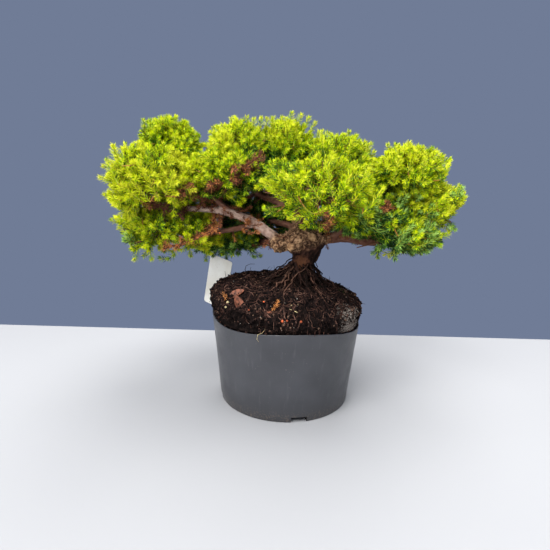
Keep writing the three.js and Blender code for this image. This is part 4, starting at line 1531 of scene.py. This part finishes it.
def roots(ground, limbs):
    """Root strands that leave the trunk's foot and run on over the soil."""
    rng = np.random.default_rng(SEED + 2)
    trunk, skin = skin_of(limbs), skin_of(ground)
    foot = corners_of("trunk")
    foot = foot[foot[:, 2] < foot[:, 2].min() + 1 * MM].mean(0)
    paths, radii = [], []
    for k in range(ROOT_STRANDS):
        heading = k * GOLDEN_ANGLE + rng.normal(0, ROOT_SCATTER)
        out = level_heading(heading)
        high = rng.uniform(0, 1)
        beside = foot + between(ROOT_HEIGHT, high) * UP + ROOT_SPREAD[1] * out
        start = np.array(trunk.ray_cast(Vector(beside), Vector(-out))[0])
        heading += rng.normal(0, ROOT_WANDER)
        out = level_heading(heading)
        reach = high * rng.uniform(*STRAND_VARIETY)
        above = foot + between(ROOT_SPREAD, reach) * out + ROOT_SPREAD[1] * UP
        end = np.array(skin.ray_cast(Vector(above), Vector(-UP))[0])
        path = curved(np.stack([start, end])[None], ROOT_POINTS, rng.uniform(*ROOT_BEND))[0]
        path[1:-1] += rng.normal(0, ROOT_WAVE, (ROOT_POINTS - 2, 3))
        course = (heading, rng.uniform(*ROOT_LENGTH), ROOT_POINTS, ROOT_CURL, 0)
        paths.append([*path[:-1], *crawl(skin, end, *course, rng)])
        thick = between(ROOT_THICKNESS, high * rng.uniform(*STRAND_VARIETY))
        radii.append(thick * ROOT_TAPER)
    skin = skin_of(ground, limbs)
    for start, end, thick in AERIAL_ROOTS:
        line = np.stack([seen_at(start, skin)[0], seen_at(end, skin)[0]])[None]
        path = curved(line, len(ROOT_TAPER), AERIAL_BEND)[0]
        paths.append(path + rng.normal(0, AERIAL_WAVE, path.shape))
        radii.append(thick * MM * ROOT_TAPER)
    parts = Parts()
    tones = rng.choice(len(ROOT_COLOURS), len(paths), p=ROOT_SHARES)
    parts.add_tubes(np.array(paths), np.array(radii), sides=5, material=tones)
    materials = mottled_materials("root", ROOT_COLOURS, **ROOT_LOOK)
    piece = parts.piece("surface_roots", materials, smooth=True)


# Scraps on the soil: grains of feed, bud scales, a dry sprig and straw, each at its pixel.
# Grains have a radius, scales a heading and half length, sprigs a number of shoots and a length.
FEED_GRAINS = [
    ((264, 302), 0.9), ((249, 310), 0.9), ((282, 321), 1.35), ((287, 321), 1.1), ((301, 322), 1.4),
]
PALE_GRAINS = [((228, 303), 1.7), ((226, 307), 1.1)]
BUD_SCALES = [((237, 295), 0.4, 9.4), ((239, 305), -1.1, 9.4), ((270, 313), -0.4, 3.2)]
DRY_SPRIGS = [((276, 308), 5, 7.0), ((223, 297), 4, 3.6)]
DRY_SIZE = 0.6
DRY_SPREAD = 1.6
DRY_RISE = 0.35
DRY_RADII = np.array([0.5, 0.4, 0.2]) * MM
STRAWS = [((290, 306), (299, 305)), ((289, 309), (298, 313))]
STRAW_BEND = -0.06
STRAW_RADII = np.full(5, 0.35) * MM
LOOSE_ROOT = [(266, 329), (262, 333), (258, 335), (257, 339), (259, 342)]
LOOSE_ROOT_RADII = np.array([0.3, 0.3, 0.25, 0.22, 0.15]) * MM
LOOSE_FIBRE = [(247, 274), (245, 270), (246, 266), (250, 264), (255, 264)]
LOOSE_FIBRE_RADII = np.array([0.45, 0.4, 0.35, 0.3, 0.2]) * MM
SCRAP_COLOURS = [(176, 80, 42), (120, 72, 52), (186, 168, 124), (196, 128, 68), (30, 22, 20)]
SCRAP_LOOK = dict(
    finish=(0.6, 0.3), shades=(0.6, 1.15), stops=(0.35, 0.62),
    grain=(2.5, 4, (1, 1, 2)), fine_grain=0.7, depth=0.15,
)
SCRAP_TILT = 0.9


def scraps(ground):
    rng = np.random.default_rng(SEED + 3)
    skin = skin_of(ground)
    grain, bud, straw, dry, fibre = range(len(SCRAP_COLOURS))
    parts = Parts()
    corners, triangles = ball()
    for places, tone in ((FEED_GRAINS, grain), (PALE_GRAINS, straw)):
        for pixel, radius in places:
            place, normal = seen_at(pixel, skin)
            form = corners * radius * MM * rng.uniform(0.85, 1.1, 3)
            parts.add((place + 0.4 * radius * MM * normal + form)[None], triangles, tone)
    for pixel, heading, half in BUD_SCALES:
        place, normal = seen_at(pixel, skin)
        lens = corners * np.array([half, 0.5 * half, 0.08 * half]) * MM
        lens[:, 2] += half * MM * (0.4 * corners[:, 1] ** 2 + 0.2 * corners[:, 0] ** 2)
        lens[:, 1] *= (1 - 0.15 * corners[:, 0]) * (1 - 0.2 * corners[:, 0] ** 2)
        facing = unit(normal + SCRAP_TILT * CAMERA_BACK)
        parts.add(laid(lens, place, facing, heading)[None], triangles, bud)
    for pixel, count, length in DRY_SPRIGS:
        place, normal = seen_at(pixel, skin)
        heading = rng.uniform(0, 6) + np.linspace(-DRY_SPREAD, DRY_SPREAD, count)
        rays = np.stack([np.cos(heading), np.sin(heading), np.full(count, DRY_RISE)], 1)
        start = place + 0.8 * MM * normal
        ends = start + laid(rays * length * MM, np.zeros(3), normal, 0.0)
        shoots = np.stack([np.repeat(start[None], count, 0), ends], 1)
        parts.add(needles(shoots, rng, DEAD_INTERNODE, DRY_SIZE)[0], NEEDLE_FACES, dry)
        parts.add_twigs(shoots, 0, DRY_RADII, sides=4, material=dry)
    for ends in STRAWS:
        line = np.stack([lifted(end, skin) for end in ends])
        parts.add_twigs(line[None], STRAW_BEND, STRAW_RADII, sides=5, material=straw)
    hanging = skin_of(ground, bpy.data.objects["nursery_pot"])
    path = np.stack([lifted(pixel, hanging) for pixel in LOOSE_ROOT])
    parts.add_tubes(path[None], LOOSE_ROOT_RADII, sides=5, material=straw)
    depth = seen_at(LOOSE_FIBRE[0], skin)[0][1]
    path = np.stack([sight_at(pixel, depth) for pixel in LOOSE_FIBRE])
    parts.add_tubes(path[None], LOOSE_FIBRE_RADII, sides=5, material=fibre)
    materials = mottled_materials("scrap", SCRAP_COLOURS, **SCRAP_LOOK)
    piece = parts.piece("soil_scraps", materials, smooth=True)


def lifted(pixel, skin):
    """The point seen at a pixel, half a millimetre off its surface."""
    place, normal = seen_at(pixel, skin)
    return place + 0.5 * MM * normal


def ball():
    """Corners and triangles of a ball of radius 1."""
    form = bmesh.new()
    bmesh.ops.create_icosphere(form, subdivisions=3, radius=1)
    form.verts.index_update()
    corners = np.array([vertex.co[:] for vertex in form.verts])
    triangles = np.array([[vertex.index for vertex in face.verts] for face in form.faces])
    form.free()
    return corners, triangles


def laid(form, place, normal, heading):
    """A form laid on a surface, with its upright along the normal."""
    forward = level_heading(heading)
    forward = unit(forward - (forward @ normal) * normal)
    axes = np.stack([forward, np.cross(normal, forward), normal])
    return place + form @ axes


# Floor, light and camera. Each soft light has a place, the side of its square and a power.

FLOOR_HALF = 4.0
FLOOR_BACK = 0.21
FLOOR_COLOUR = (150, 150, 151)
STUDIO_COLOUR = (112, 124, 150)
LIGHT_AIM = Vector((0, 0, 0.2))
SOFT_LIGHTS = {
    "key": ((-0.7, -1.3, 1.9), 1.4, 85),
    "top": ((0.2, 0.2, 2.2), 1.4, 58),
    "back": ((0.4, 1.6, 1.9), 1.4, 36),
    "fill": ((1.5, -1.0, 0.9), 1.2, 12),
    "front": ((-1.2, -1.5, 0.55), 1.2, 20),
}


def stage():
    ends = [(-FLOOR_HALF, -FLOOR_HALF), (FLOOR_HALF, -FLOOR_HALF)]
    ends += [(FLOOR_HALF, FLOOR_BACK), (-FLOOR_HALF, FLOOR_BACK)]
    mesh = bpy.data.meshes.new("floor")
    mesh.from_pydata([(x, y, 0) for x, y in ends], [], [(0, 1, 2, 3)])
    mesh.materials.append(plain_material("pale_floor", FLOOR_COLOUR, 0.6))
    floor = placed("floor", mesh)

    world = bpy.data.worlds.new("studio")
    world.use_nodes = True
    background = world.node_tree.nodes["Background"]
    background.inputs["Color"].default_value = linear(STUDIO_COLOUR)
    bpy.context.scene.world = world

    for name, (place, side, power) in SOFT_LIGHTS.items():
        light = bpy.data.lights.new(name, "AREA")
        light.size = side
        light.energy = power
        lamp = placed(name, light)
        lamp.location = place
        lamp.rotation_mode = "QUATERNION"
        lamp.rotation_quaternion = (LIGHT_AIM - Vector(place)).to_track_quat("-Z", "Y")


def camera():
    lens = bpy.data.cameras.new("camera")
    lens.sensor_width = SENSOR
    lens.lens = SENSOR * FOCAL_PIXELS / PHOTO_SIDE
    lens.clip_start, lens.clip_end = 0.01, 50
    eye = placed("camera", lens)
    axes = (Vector(CAMERA_RIGHT), Vector(CAMERA_UP), Vector(CAMERA_BACK))
    eye.matrix_world = Matrix.Translation(CAMERA_AT) @ Matrix(axes).transposed().to_4x4()
    bpy.context.scene.camera = eye


bpy.context.scene.view_settings.view_transform = "Standard"
limbs = bark()
limb_skin = skin_of(limbs)
foliage(limb_skin)
dead_sprigs(limb_skin)
pot()
label()
ground = soil()
litter(ground)
scraps(ground)
roots(ground, limbs)
stage()
camera()
